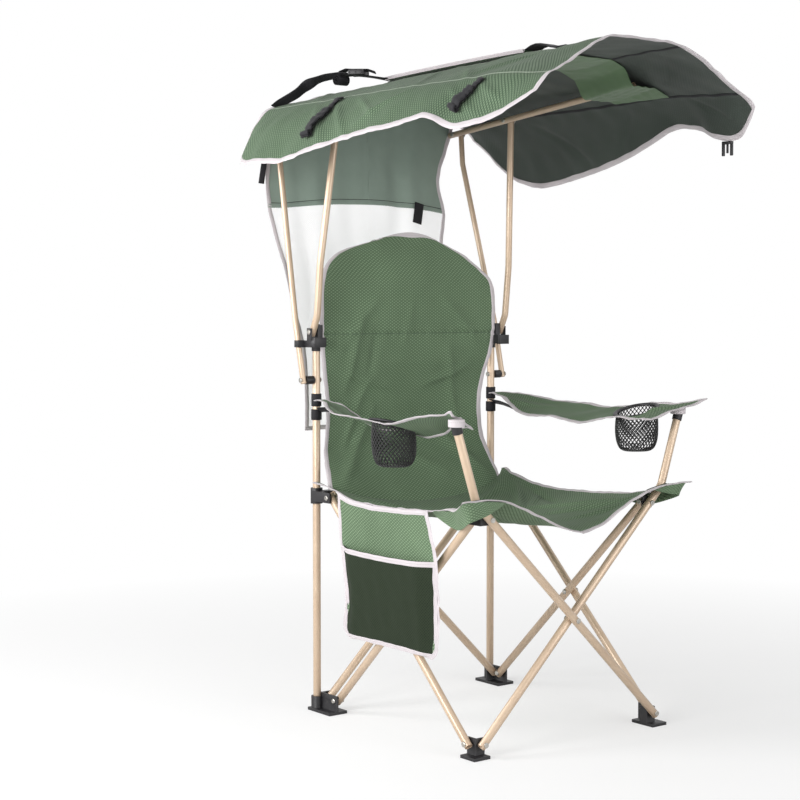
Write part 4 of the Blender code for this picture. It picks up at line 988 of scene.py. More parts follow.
        return swept(name, rings, measures, closed)

    def bind_all(self, name: str, width: float = 0.0100, seed: int = 1) -> Piece:
        """The tape round the whole sheet."""
        ring = self.walk((Edge.START, False), (Edge.HIGH, False), (Edge.END, True), (Edge.LOW, True))
        return self.bind(name, ring, width, seed)

    def ribbon(
        self,
        name: str,
        path: Sequence[tuple[float, float]],
        half: float,
        lift: float = 0.0010,
        thick: float = 0.0008,
    ) -> Piece:
        """A flat tape sewn onto the sheet along a path of shares.

        Args:
            name: the piece's name.
            path: places on the sheet, by shares across and along.
            half: half the tape's width.
            lift: how far its middle lies above the cloth, negative for the underside.
            thick: the tape's thickness.

        Returns:
            The tape, capped at both ends.
        """
        spots = [self.at(*share) for share in path]
        return tape(name, [p + n * lift for p, n in spots], [n for _, n in spots], half, thick)


def tape(
    name: str,
    places: Sequence[Sequence[float]],
    normals: Sequence[Sequence[float]],
    half: float | Sequence[float],
    thick: float,
) -> Piece:
    """A flat tape or strap with rounded edges, along a line of places.

    Args:
        name: the piece's name.
        places: its middle line.
        normals: the way that its face looks at each place.
        half: half its width, one for all or one for each place.
        thick: its thickness.

    Returns:
        The tape, capped at both ends.
    """
    line = np.array([np.array(p, float) for p in places])
    run = runs(line)
    halves = [half] * len(line) if isinstance(half, float) else list(half)
    rings, measures = [], []
    for n, place in enumerate(line):
        way = line[min(n + 1, len(line) - 1)] - line[max(n - 1, 0)]
        way /= np.linalg.norm(way)
        side = np.cross(way, np.array(normals[n], float))
        side /= np.linalg.norm(side)
        up = np.cross(side, way)
        h, t = halves[n], thick / 2
        upper = [(-h + t, t), (-h * 0.4, t * 1.05), (h * 0.4, t * 1.05), (h - t, t)]
        section = [(-h, 0), *upper, (h, 0), *((a, -b) for a, b in reversed(upper))]
        rings.append([place + side * a + up * b for a, b in section])
        measures.append([(run[n], a + h + (0.1 if b < 0 else 0.0)) for a, b in section] + [(run[n], 0.1)])
    return swept(name, rings, measures, closed=False)


def moulded_bar(made: Piece | None, middle: Vector, size: Sequence[float], soften: float) -> Piece:
    """One softened bar of a moulding, added to the piece or starting it.

    Args:
        made: the piece so far, in object mode, or None to start one.
        middle: the bar's middle.
        size: its three lengths.
        soften: its edges' radius.

    Returns:
        The piece, in object mode.
    """
    if made is None:
        deselect()
    else:
        pick(made)
        bpy.ops.object.mode_set(mode="EDIT")
        bpy.ops.mesh.select_all(action="DESELECT")
    bpy.ops.mesh.primitive_cube_add(size=1.0, location=middle)
    if made is None:
        made = bpy.context.object
        bpy.ops.object.mode_set(mode="EDIT")
        bpy.ops.mesh.select_all(action="SELECT")
    bpy.ops.transform.resize(value=tuple(size), center_override=middle)
    bpy.ops.mesh.bevel(offset=soften, segments=2, affect="EDGES")
    bpy.ops.object.mode_set(mode="OBJECT")
    return made


@dataclass
class TubeSpec:
    """One bent steel tube: its node, its body, its line and its radius."""

    node: str
    body: str
    line: list[Spot]
    radius: float


@dataclass
class SteelFrame:
    """All sixteen tubes of the folding frame and its canopy."""

    sides: int = 28
    link_end: float = 0.0065
    post_foot: float = 0.0063
    rail_rear: float = 0.0180
    rail_front: float = 0.4900
    arm_bend: float = 0.0330
    arm_lean: float = 0.0500
    arm_rise: float = 0.1816
    crank_back: float = 0.0280
    crank_rise: float = 0.0440
    clip_rise: float = 0.0300
    bow_back: float = 0.0055
    bow_drop: float = 0.0650

    def straight(self, low: Sequence[float], high: Sequence[float]) -> list[Spot]:
        """A line between two pins that runs past both."""
        a, b = Vector(low), Vector(high)
        past = (b - a).normalized() * PLAN.tube_end
        return [tuple(a - past), tuple(b + past)]

    def crossing(self, low_side: int, y: float) -> list[Spot]:
        """A tube across the chair, from its foot on one side to its top on the other."""
        x = low_side * PLAN.pin_x
        return self.straight((x, y, PLAN.low), (-x, y, PLAN.high))

    def specs(self) -> list[TubeSpec]:
        """Every tube's line, from the plan."""
        p = PLAN
        found = []
        for side in Side:
            s, label = side.value, side.label
            inner = self.straight((s * p.inner_x, p.rear_y, p.low), (s * p.inner_x, p.front_y, p.high))
            outer = self.straight((s * p.outer_x, p.front_y, p.low), (s * p.outer_x, p.rear_y, p.high))
            post = [(s * p.post_x, p.post_y, self.post_foot), (s * p.post_x, p.post_y, p.post_top)]
            ends = (p.rail(p.strut_top[1] + self.rail_rear), p.rail(p.post_y - self.rail_front))
            rail = [(s * v.x, v.y, v.z) for v in ends]
            found += [
                TubeSpec(f"side_tube_inner_{label}", f"{label}_inner", inner, p.tube),
                TubeSpec(f"side_tube_outer_{label}", f"{label}_outer", outer, p.tube),
                TubeSpec(f"back_post_{label}", f"{label}_back", post, p.tube),
                TubeSpec(f"canopy_post_{label}", f"{label}_canopy_post", self.canopy_post(s), p.post_tube),
                TubeSpec(f"rear_strut_{label}", f"{label}_strut", self.rear_strut(s), p.strut_tube),
                TubeSpec(f"canopy_rail_{label}", RAIL_BODY[side], rail, p.rail_tube),
            ]
        found += [
            TubeSpec("rear_tube_rising_left", "rear_cross_a", self.crossing(-1, p.rear_back_y), p.tube),
            TubeSpec("rear_tube_rising_right", "rear_cross_b", self.crossing(1, p.rear_fore_y), p.tube),
            TubeSpec("front_tube_rising_left", "front_cross_a", self.arm_tube(-1, p.front_back_y), p.tube),
            TubeSpec("front_tube_rising_right", "front_cross_b", self.arm_tube(1, p.front_fore_y), p.tube),
        ]
        return found

    def arm_tube(self, low_side: int, y: float) -> list[Spot]:
        """A front tube: across the chair, then bent at the seat's corner and up to the arm."""
        p = PLAN
        x = p.pin_x + self.arm_bend
        bend = (-low_side * x, y, p.high + self.arm_bend * (p.high - p.low) / p.run)
        head = (-low_side * (x + self.arm_lean), y, p.high + self.arm_rise)
        return [self.crossing(low_side, y)[0], bend, head]

    def canopy_post(self, s: int) -> list[Spot]:
        """The front canopy post: cranked above its pin, then drawn in to the rail."""
        p = PLAN
        pin = Vector((s * p.canopy_post_x, p.post_y - p.link_back, p.post_top + p.link_rise))
        bend = Vector((s * p.canopy_post_x, p.post_y - self.crank_back, p.post_top + self.crank_rise))
        top = Vector((s * (p.post_x - p.top_in), p.top_y, p.top_z))
        straight = bend.lerp(top, 0.25)
        straight.x = s * p.canopy_post_x
        foot = pin - (bend - pin).normalized() * p.tube_end
        head = top + (top - straight).normalized() * self.link_end
        return [tuple(foot), tuple(bend), tuple(straight), tuple(head)]

    def rear_strut(self, s: int) -> list[Spot]:
        """The rear strut: from its pin through the clip, then back and up to the rail."""
        p = PLAN
        x, y, z = p.strut_top
        top = Vector((s * x, y, z))
        pin = Vector((s * p.strut_x, p.post_y, p.post_top - p.strut_drop))
        back = (top.y - pin.y) / (top.z - pin.z)
        level = p.post_top + self.clip_rise
        straight = Vector((s * p.strut_x, pin.y + back * (level - pin.z), level))
        bend = Vector((top.x, top.y - self.bow_back, top.z - self.bow_drop))
        foot = pin - (straight - pin).normalized() * p.tube_end
        head = top + (top - bend).normalized() * self.link_end
        return [tuple(foot), tuple(straight), tuple(bend), tuple(head)]

    def bend_tube(self, name: str, line: Sequence[Sequence[float]], radius: float) -> Piece:
        """A round tube drawn along straight runs and spun through its bends.

        Args:
            name: the piece's name.
            line: its corners.
            radius: its outer radius.

        Returns:
            The tube, hollow, with softened ends.
        """
        points = [Vector(p) for p in line]
        first = (points[1] - points[0]).normalized()
        deselect()
        turned = first.to_track_quat("Z", "Y").to_euler()
        bpy.ops.mesh.primitive_circle_add(
            vertices=self.sides, radius=radius, location=points[0], rotation=turned)
        made = bpy.context.object
        made.name = name
        bpy.ops.object.mode_set(mode="EDIT")
        bpy.ops.mesh.select_mode(type="EDGE")
        bpy.ops.mesh.select_all(action="SELECT")
        at = points[0]
        for before, corner, after in zip(points, points[1:], points[2:]):
            way, on = (corner - before).normalized(), (after - corner).normalized()
            turn = way.angle(on)
            if turn < math.radians(1.0):
                continue
            reach = PLAN.bend * math.tan(turn / 2)
            start = corner - way * reach
            bpy.ops.mesh.extrude_region_move(TRANSFORM_OT_translate={"value": start - at})
            axis = way.cross(on).normalized()
            centre = start + axis.cross(way).normalized() * PLAN.bend
            steps = max(3, round(math.degrees(turn) / 5))
            bpy.ops.mesh.spin(steps=steps, dupli=False, angle=-turn, center=centre, axis=axis)
            at = corner + on * reach
        bpy.ops.mesh.extrude_region_move(TRANSFORM_OT_translate={"value": points[-1] - at})
        bpy.ops.mesh.select_all(action="SELECT")
        bpy.ops.mesh.remove_doubles(threshold=1e-5)
        bpy.ops.mesh.normals_make_consistent(inside=False)
        bpy.ops.object.mode_set(mode="OBJECT")
        skin = made.modifiers.new("wall", "SOLIDIFY")
        skin.thickness, skin.offset = PLAN.wall, -1.0
        rim = made.modifiers.new("rim", "BEVEL")
        rim.width, rim.segments, rim.limit_method, rim.angle_limit = 0.0003, 2, "ANGLE", math.radians(50)
        apply_all(made)
        smooth(made)
        return made

    def build(self) -> None:
        """Bend every tube."""
        for spec in self.specs():
            made = self.bend_tube(f"{spec.node}_steel", spec.line, spec.radius)
            settle(made, "steel", spec.body, [spec.node])


@dataclass
class Corners:
    """The moulded corners, and the rivets through them."""

    soften: float = 0.0006
    head_radius: float = 0.0052
    head_height: float = 0.0026
    head_sink: float = 0.0002
    cheek: float = 0.0016
    rail_flat: float = 0.0068
    nodes: tuple[tuple[str, str], ...] = (
        ("rear_foot", "{}_back"),
        ("canopy_bracket", "{}_back"),
        ("strut_spacer", "{}_back"),
        ("post_slider", "{}_slider"),
        ("front_foot", "{}_front_foot"),
        ("front_hub", "{}_hub"),
    )

    def moulding(self, node: str, body: str) -> None:
        """A moulded piece in its node's own shape, with its edges softened."""
        source = bpy.data.objects[frame_object(node)]
        bm = bmesh.new()
        bm.from_mesh(source.data)
        bmesh.ops.remove_doubles(bm, verts=bm.verts, dist=2e-5)
        bmesh.ops.dissolve_limit(bm, angle_limit=math.radians(1.5), verts=bm.verts, edges=bm.edges)
        made = mesh_piece(f"{node}_nylon", bm)
        made.data.transform(source.matrix_world)
        edge = made.modifiers.new("softened", "BEVEL")
        edge.width, edge.segments, edge.use_clamp_overlap = self.soften, 2, True
        edge.limit_method, edge.angle_limit = "ANGLE", math.radians(35)
        apply_all(made)
        smooth(made, 30)
        settle(made, "nylon", body, [node])

    def head(self, name: str, place: Vector, way: Vector) -> Piece:
        """One domed rivet head that looks along a direction."""
        deselect()
        bpy.ops.mesh.primitive_cylinder_add(
            vertices=20,
            radius=self.head_radius,
            depth=self.head_height,
            location=place + way * (self.head_height / 2 - self.head_sink),
            rotation=way.to_track_quat("Z", "Y").to_euler(),
        )
        made = bpy.context.object
        made.name = name
        bpy.ops.object.mode_set(mode="EDIT")
        bpy.ops.mesh.select_mode(type="FACE")
        bpy.ops.mesh.select_all(action="DESELECT")
        bpy.ops.object.mode_set(mode="OBJECT")
        for face in made.data.polygons:
            face.select = face.normal.z > 0.9
        bpy.ops.object.mode_set(mode="EDIT")
        bpy.ops.mesh.bevel(offset=self.head_height * 0.8, segments=4, profile=0.5, affect="EDGES")
        bpy.ops.mesh.inset(thickness=self.head_radius * 0.2, depth=0.0003)
        bpy.ops.object.mode_set(mode="OBJECT")
        smooth(made, 50)
        return made

    def rivet_lines(self) -> dict[str, list[tuple[Vector, Vector, str]]]:
        """Every pin's two ends, by the body that carries it.

        Returns:
            For each body, the ends of each pin and which of them are headed: a, b or ab.
        """
        p = PLAN
        lines: dict[str, list[tuple[Vector, Vector, str]]] = {}

        def pin(body: str, a: Sequence[float], b: Sequence[float], heads: str) -> None:
            """Note one pin."""
            lines.setdefault(body, []).append((Vector(a), Vector(b), heads))

        behind = p.rear_back_y + p.tube + p.gap
        amid = p.rear_fore_y + p.tube + p.gap
        for side in Side:
            s, label = side.value, side.label
            inner = (s * (p.inner_x - p.tube), s * (p.inner_x + p.tube + p.gap + p.plate))
            outer = (s * (p.outer_x - p.tube), s * (p.outer_x + p.tube + p.gap + p.plate))
            foot_lug, slide_lug = (behind, amid) if s < 0 else (amid, behind)
            fronts = (p.front_back_y, p.front_fore_y)
            foot_tube, hub_tube = fronts if s < 0 else reversed(fronts)
            pin(f"{label}_back", (inner[0], p.rear_y, p.low), (inner[1], p.rear_y, p.low), "ab")
            pin(f"{label}_slider", (outer[0], p.rear_y, p.high), (outer[1], p.rear_y, p.high), "ab")
            for body, lug, back, z in (
                (f"{label}_back", foot_lug, foot_lug + p.plate, p.low),
                (f"{label}_slider", slide_lug, p.post_y, p.high),
            ):
                front = lug - p.gap - 2 * p.tube
                heads = "a" if front > p.rear_back_y - p.pitch else ""
                heads += "" if body.endswith("slider") else "b"
                if heads:
                    pin(body, (s * p.pin_x, front, z), (s * p.pin_x, back, z), heads)
            pin(f"{label}_front_foot", (s * (p.outer_x - p.tube - p.gap - p.plate), p.front_y, p.low),
                (s * (p.outer_x + p.tube), p.front_y, p.low), "ab")
            x = s * p.pin_x
            pin(f"{label}_front_foot", (x, foot_tube - p.tube, p.low), (x, p.front_y, p.low), "a")
            pin(f"{label}_hub", (inner[0], p.front_y, p.high), (inner[1], p.front_y, p.high), "ab")
            pin(f"{label}_hub", (x, hub_tube - p.tube, p.high), (x, p.front_y, p.high), "a")
            middle = (p.front_y + p.rear_y) / 2
            pin(f"{label}_inner", (inner[0], middle, p.mid), (s * (p.outer_x + p.tube), middle, p.mid), "ab")
            z = p.post_top - p.strut_drop
            strut = s * (p.strut_x + p.strut_tube)
            pin(f"{label}_back", (s * (p.post_x - p.tube), p.post_y, z), (strut, p.post_y, z), "ab")
            y, z = p.post_y - p.link_back, p.post_top + p.link_rise
            cheek = s * (p.canopy_post_x + p.post_tube + p.gap + self.cheek)
            pin(f"{label}_back", (s * p.post_x, y, z), (cheek, y, z), "b")
            post_top, strut_top = p.post_x - p.top_in + p.post_tube, p.strut_top[0] + p.strut_tube
            for y, link in ((p.top_y, post_top), (p.strut_top[1], strut_top)):
                rail = p.rail(y)
                pin(RAIL_BODY[side], (s * (rail.x - self.rail_flat), y, rail.z), (s * link, y, rail.z), "ab")
        pin("rear_cross_a", (0, p.rear_fore_y - p.tube, p.mid), (0, p.rear_back_y + p.tube, p.mid), "ab")
        pin("front_cross_a", (0, p.front_fore_y - p.tube, p.mid), (0, p.front_back_y + p.tube, p.mid), "ab")
        return lines

    def build(self) -> None:
        """Mould the corners and set the rivets."""
        for node, body in self.nodes:
            for side in Side:
                self.moulding(f"{node}_{side.label}", body.format(side.label))
        self.moulding("arm_post_cap_left", "front_cross_a")
        self.moulding("arm_post_cap_right", "front_cross_b")
        for body, pins in self.rivet_lines().items():
            heads = []
            for a, b, which in pins:
                way = (b - a).normalized()
                if "a" in which:
                    heads.append(self.head("head", a, -way))
                if "b" in which:
                    heads.append(self.head("head", b, way))
            pick(heads[0])
            for item in heads:
                item.select_set(True)
            bpy.ops.object.join()
            heads[0].name = f"rivet_heads_{body}"
            settle(heads[0], "zinc", body, slot="rivet_front_cross")
        for node in frame["nodes"]:
            if node.startswith("rivet"):
                item = bpy.data.objects[frame_object(node)]
                item.data.materials.clear()
                item.data.materials.append(WARDROBE["zinc"])


def frame_object(node: str) -> str:
    """The name of the object that holds one of the frame's nodes."""
    for item in bpy.data.objects:
        if item.get("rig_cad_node") == node:
            return item.name
    return node


@dataclass
class Seat:
    """The hammock seat, in two halves that meet on its middle line, with ears at its front corners."""

    half_width: float = 0.2480
    ear: float = 0.0480
    ear_share: float = 0.28
    ear_drop: float = 0.0300
    wrap: float = 0.0130
    dip: float = 0.0410
    front_dip: float = 0.0220
    under_drop: tuple[float, float] = (0.0400, 0.0260)
    front_y: float = -0.2620
    rear_y: float = 0.2170
    rear_reach: float = 0.0420
    cells: tuple[int, int] = (60, 104)
    # Hem height outwards from the middle: drawn tight, so it is nearly straight on each side
    hem: tuple[tuple[float, float], ...] = (
        (0.00, 0.4040), (0.05, 0.4180), (0.10, 0.4440), (0.15, 0.4640), (0.20, 0.4790), (0.25, 0.4840),
        (0.31, 0.4850))
    # Side edge height from the front to the post: it hangs between its corners
    edge: tuple[tuple[float, float], ...] = (
        (-0.262, 0.4830), (-0.200, 0.4690), (-0.120, 0.4550), (0.030, 0.4470), (0.140, 0.4500),
        (0.205, 0.4640), (0.262, 0.4760))

    # Each fold on one side: where it starts and ends on the flat cloth, its half width and its height
    pulls: tuple[Fold, ...] = (
        ((0.235, 0.060), (0.060, 0.230), 0.010, 0.0058), ((0.225, 0.095), (0.105, 0.330), 0.009, 0.0040),
        ((0.240, 0.035), (0.030, 0.120), 0.009, 0.0046), ((0.238, 0.440), (0.070, 0.280), 0.011, 0.0056),
        ((0.236, 0.400), (0.150, 0.240), 0.009, -0.0036), ((0.225, 0.470), (0.020, 0.400), 0.010, 0.0044),
        ((0.215, 0.350), (0.120, 0.300), 0.008, 0.0030))
    stray: float = 0.012
    tube_hole: tuple[float, float, float] = (0.2365, 0.0155, 0.0105)
    patch_reach: tuple[float, float] = (0.0195, 0.0135)

    def rear_line(self, x: float) -> float:
        """Where the seat turns up into the back."""
        return self.rear_y + self.rear_reach * min(1.0, abs(x) / self.half_width) ** 6

    def point(self, u: float, v: float) -> Spot:
        """The seat by shares: across from the right, and back from the front hem."""
        across = 2 * u - 1
        ear = max(0.0, 1 - v / self.ear_share) ** 2
        x = across * (self.half_width + self.ear * ear + self.wrap * eased(0.93, 1.0, v))
        y = self.front_y + (self.rear_line(x) - self.front_y) * v
        free = max(0.0, 1 - (x / self.half_width) ** 2)
        dip = self.dip + self.front_dip * max(0.0, 1 - v / 0.3)
        inside = float(flowing(self.edge, y)[0]) - dip * free
        hem = float(flowing(self.hem, abs(x))[0])
        z = hem + (inside - hem) * eased(0.0, 0.14, v)
        droop = eased(0.0, 0.15, v) * (1 - eased(0.15, 0.40, v))
        outside = min(1.0, max(0.0, abs(x) - 0.2400) / 0.0500)
        return x, y, z - self.ear_drop * droop * outside**1.5

    def share_at(self, x: float, y: float) -> tuple[float, float]:
        """The shares of a place in the plan."""
        v = (y - self.front_y) / (self.rear_line(x) - self.front_y)
        ear = max(0.0, 1 - v / self.ear_share) ** 2
        return (x / (self.half_width + self.ear * ear) + 1) / 2, v

    def folds(self, x: np.ndarray, y: np.ndarray) -> np.ndarray:
        """Tension folds from the corners, a slack middle and a rolled front hem."""
        rise = 0.0018 * ripple(x, y, 0.15, 3)
        for side in (-1, 1):
            pulls = [
                ((side * a, b), (side * c + self.stray * side, d), width, height)
                for (a, b), (c, d), width, height in self.pulls
            ]
            rise = creases(rise, x, y, pulls, 1.5)
        return rise

    def half(self, side: Side, whole: Cloth) -> None:
        """One half of the seat, its binding and the patch round its arm tube.

        Args:
            side: which half.
            whole: the seat in one piece, which both halves are cut from.
        """
        label, sign, middle, right = side.label, side.value, self.cells[0], side is Side.RIGHT
        part, low = (slice(0, middle + 1), 0.0) if right else (slice(middle, None), 0.5)
        sheet = Cloth(f"seat_cloth_{label}", lambda u, v: self.point(low + u / 2, v), self.cells)
        sheet.points, sheet.normals, sheet.measure = (
            grid[:, part] for grid in (whole.points, whole.normals, whole.measure))
        x, wide, long = self.tube_hole
        hole = (sign * x, PLAN.front_fore_y if right else PLAN.front_back_y, wide, long)
        body = f"{label}_hung"
        nodes = ["seat_panel"] if right else []
        made = settle(sheet.build(hole), ("cloth", "cloth"), body, nodes, "seat_panel")
        walk = sheet.walk((Edge.START, right), (Edge.LOW if right else Edge.HIGH, False))
        hem = sheet.bind(f"seat_binding_{label}", walk, 0.0095, 5 + sign)
        settle(hem, "tape", body, slot="seat_panel")
        places, normals = [], []
        for n in range(25):
            turn = math.tau * n / 24
            a, b = self.patch_reach
            spot = self.share_at(hole[0] + a * math.cos(turn), hole[1] + b * math.sin(turn))
            place, normal = whole.at(*spot)
            places.append(place + normal * 0.0011)
            normals.append(normal)
        patch = tape(f"seat_tube_patch_{label}", places, normals, 0.0036, 0.0009)
        settle(patch, "webbing", body, slot="seat_panel")
        sheet.declare(made, "stretched", [f"front_tube_rising_{label}"], [hem, patch])
        self.under_flap(side)

    def rim(self, share: float) -> np.ndarray:
        """A place along the side edge and on round the front corner, on the right."""
        share = min(1.0, max(0.0, share))
        if share < 0.6:
            return np.array(self.point(0.0, 0.32 * (1 - share / 0.6)))
        return np.array(self.point(0.17 * (share - 0.6) / 0.4, 0.0))

    def under_flap(self, side: Side) -> None:
        """The spare cloth that hangs under the front corner, outside the hub."""
        left = side is Side.LEFT

        def point(u: float, v: float) -> Spot:
            """The flap by shares: round the corner, and downwards."""
            place = sum(self.rim(u + step) for step in (-0.08, -0.04, 0.0, 0.04, 0.08)) / 5
            hang = self.under_drop[left] * max(0.0, math.sin(math.pi * u)) ** 0.8 * v
            inward = 1 - 0.05 * math.sin(math.pi * v / 2)
            return side.value * abs(place[0]) * inward, place[1] + 0.006 * v, place[2] - 0.0012 - hang

        def folds(x: np.ndarray, y: np.ndarray) -> np.ndarray:
            """A slight swell."""
            return 0.0016 * ripple(x, y, 0.05, 7)

        flap = Cloth(f"seat_under_flap_{side.label}", point, (48, 14), folds, pucker=0.0, flip=left)
        made = settle(flap.build(), ("cloth", "cloth"), f"{side.label}_hung", slot="seat_panel")
        flap.declare(made, "hung", ["seat_panel"], [])

    def build(self) -> None:
        """Hang both halves."""
        whole = Cloth("seat_whole", self.point, (self.cells[0] * 2, self.cells[1]), self.folds)
        for side in Side:
            self.half(side, whole)


@dataclass
class Back:
    """The back panel: slung between the posts, waisted, with an arched headrest."""

    low_z: float = 0.4873
    top_z: float = 0.9880
    half_width: float = 0.2302
    sag: float = 0.0200
    seam_z: float = 0.7760
    foot_back: float = 0.0020
    foot_sink: float = 0.0060
    off_post: float = 0.0015
    arch_drop: float = 0.0130
    # Width shares upwards at the sitter's right and left: waisted, full at the headrest, then the arch
    outline: tuple[Spot, ...] = (
        (0.000, 1.000, 0.980), (0.040, 1.000, 0.955), (0.130, 0.970, 0.875), (0.214, 0.950, 0.850),
        (0.307, 0.950, 0.850), (0.380, 0.970, 0.890), (0.450, 0.990, 0.950), (0.520, 1.005, 1.000),
        (0.600, 1.015, 1.020), (0.740, 1.015, 1.020), (0.800, 1.000, 0.985), (0.845, 0.970, 0.870),
        (0.891, 0.880, 0.710), (0.930, 0.745, 0.570), (0.964, 0.570, 0.450), (1.000, 0.330, 0.300))

    # Each fold: where it starts and ends on the flat cloth, its half width and its height
    pulls: tuple[Fold, ...] = (
        ((-0.20, 0.03), (-0.07, 0.23), 0.012, 0.0075), ((0.20, 0.03), (0.06, 0.22), 0.012, 0.0075),
        ((-0.17, 0.12), (-0.09, 0.29), 0.009, 0.0040), ((-0.16, 0.24), (-0.13, 0.44), 0.011, 0.0042),
        ((-0.10, 0.28), (-0.09, 0.40), 0.009, -0.0032), ((0.16, 0.13), (0.10, 0.36), 0.010, 0.0046),
        ((-0.18, 0.30), (-0.01, 0.25), 0.009, 0.0036), ((0.18, 0.31), (0.04, 0.26), 0.009, 0.0036),
        ((0.10, 0.06), (-0.06, 0.15), 0.011, 0.0044), ((-0.19, 0.34), (-0.07, 0.47), 0.014, 0.0046),
        ((0.19, 0.35), (0.08, 0.46), 0.014, 0.0042), ((-0.02, 0.34), (0.01, 0.46), 0.012, 0.0026))

    def reach(self, across: float, v: float) -> float:
        """How far out a share of the width lies."""
        near, far = flowing(self.outline, v)
        return across * float(near if across < 0 else far) * self.half_width

    def point(self, u: float, v: float) -> Spot:
        """The back by shares: across from the right, and up from the seat."""
        across = 2 * u - 1
        free = 1 - across * across
        x = self.reach(across, v)
        seat = Seat()
        foot_x = self.reach(across, 0.0)
        seat_y = seat.rear_line(foot_x) + self.foot_back
        foot_free = max(0.0, 1 - (foot_x / seat.half_width) ** 2)
        foot = float(flowing(seat.edge, seat_y - self.foot_back)[0]) - seat.dip * foot_free - self.foot_sink
        rise = eased(0.0, 0.12, v)
        plane = PLAN.post_y - PLAN.tube - 2 * PLAN.gap - PLAN.cheek - self.off_post
        y = seat_y + (plane - seat_y) * rise + self.sag * free * math.sin(math.pi * min(1.0, v / 0.45))
        z = foot + (self.low_z - foot) * rise + v * (self.top_z - self.low_z)
        z -= self.arch_drop * across * across * eased(0.90, 1.0, v)
        return x, y, z

    def seam_share(self) -> float:
        """The headrest seam's share of the height."""
        return (self.seam_z - self.low_z) / (self.top_z - self.low_z)

    def seam_run(self) -> float:
        """How far up the middle of the cloth the headrest seam lies."""
        line = np.array([self.point(0.5, self.seam_share() * n / 120) for n in range(121)])
        return float(np.linalg.norm(np.diff(line, axis=0), axis=1).sum())

    def folds(self, x: np.ndarray, y: np.ndarray) -> np.ndarray:
        """Folds that hang from the headrest seam, and pulls from the waist to the posts."""
        rise = creases(0.0020 * ripple(x, y, 0.13, 11), x, y, self.pulls, 1.4)
        off = y - self.seam_run()
        gathers = 0.0011 * np.sin(x * 240 + 2 * np.sin(x * 31)) * np.exp(-np.abs(off) / 0.012)
        groove, ridge = np.exp(-((off / 0.0035) ** 2)), np.exp(-(((off - 0.011) / 0.008) ** 2))
        return rise + gathers - 0.0026 * groove + 0.0018 * ridge

    def build(self) -> None:
        """Hang the back and bind its sides and its arch."""
        sheet = Cloth("back_cloth", self.point, (112, 144), self.folds)
        made = settle(sheet.build(), ("cloth", "cloth"), "right_back", ["back_panel"])
        walk = sheet.walk((Edge.LOW, False), (Edge.END, False), (Edge.HIGH, True))
        hem = sheet.bind("back_binding", walk, 0.0095, 8)
        path = [(n / 60, self.seam_share()) for n in range(1, 60)]
        seam = sheet.ribbon("back_seam_stitching", path, 0.0008, 0.0007, 0.0004)
        settle(hem, "tape", "right_back", slot="back_panel")
        settle(seam, "seam", "right_back", slot="back_panel")
        gather(made, hem, seam)
        sheet.declare(made, "stretched", ["back_post_right", "back_post_left"], [hem, seam])


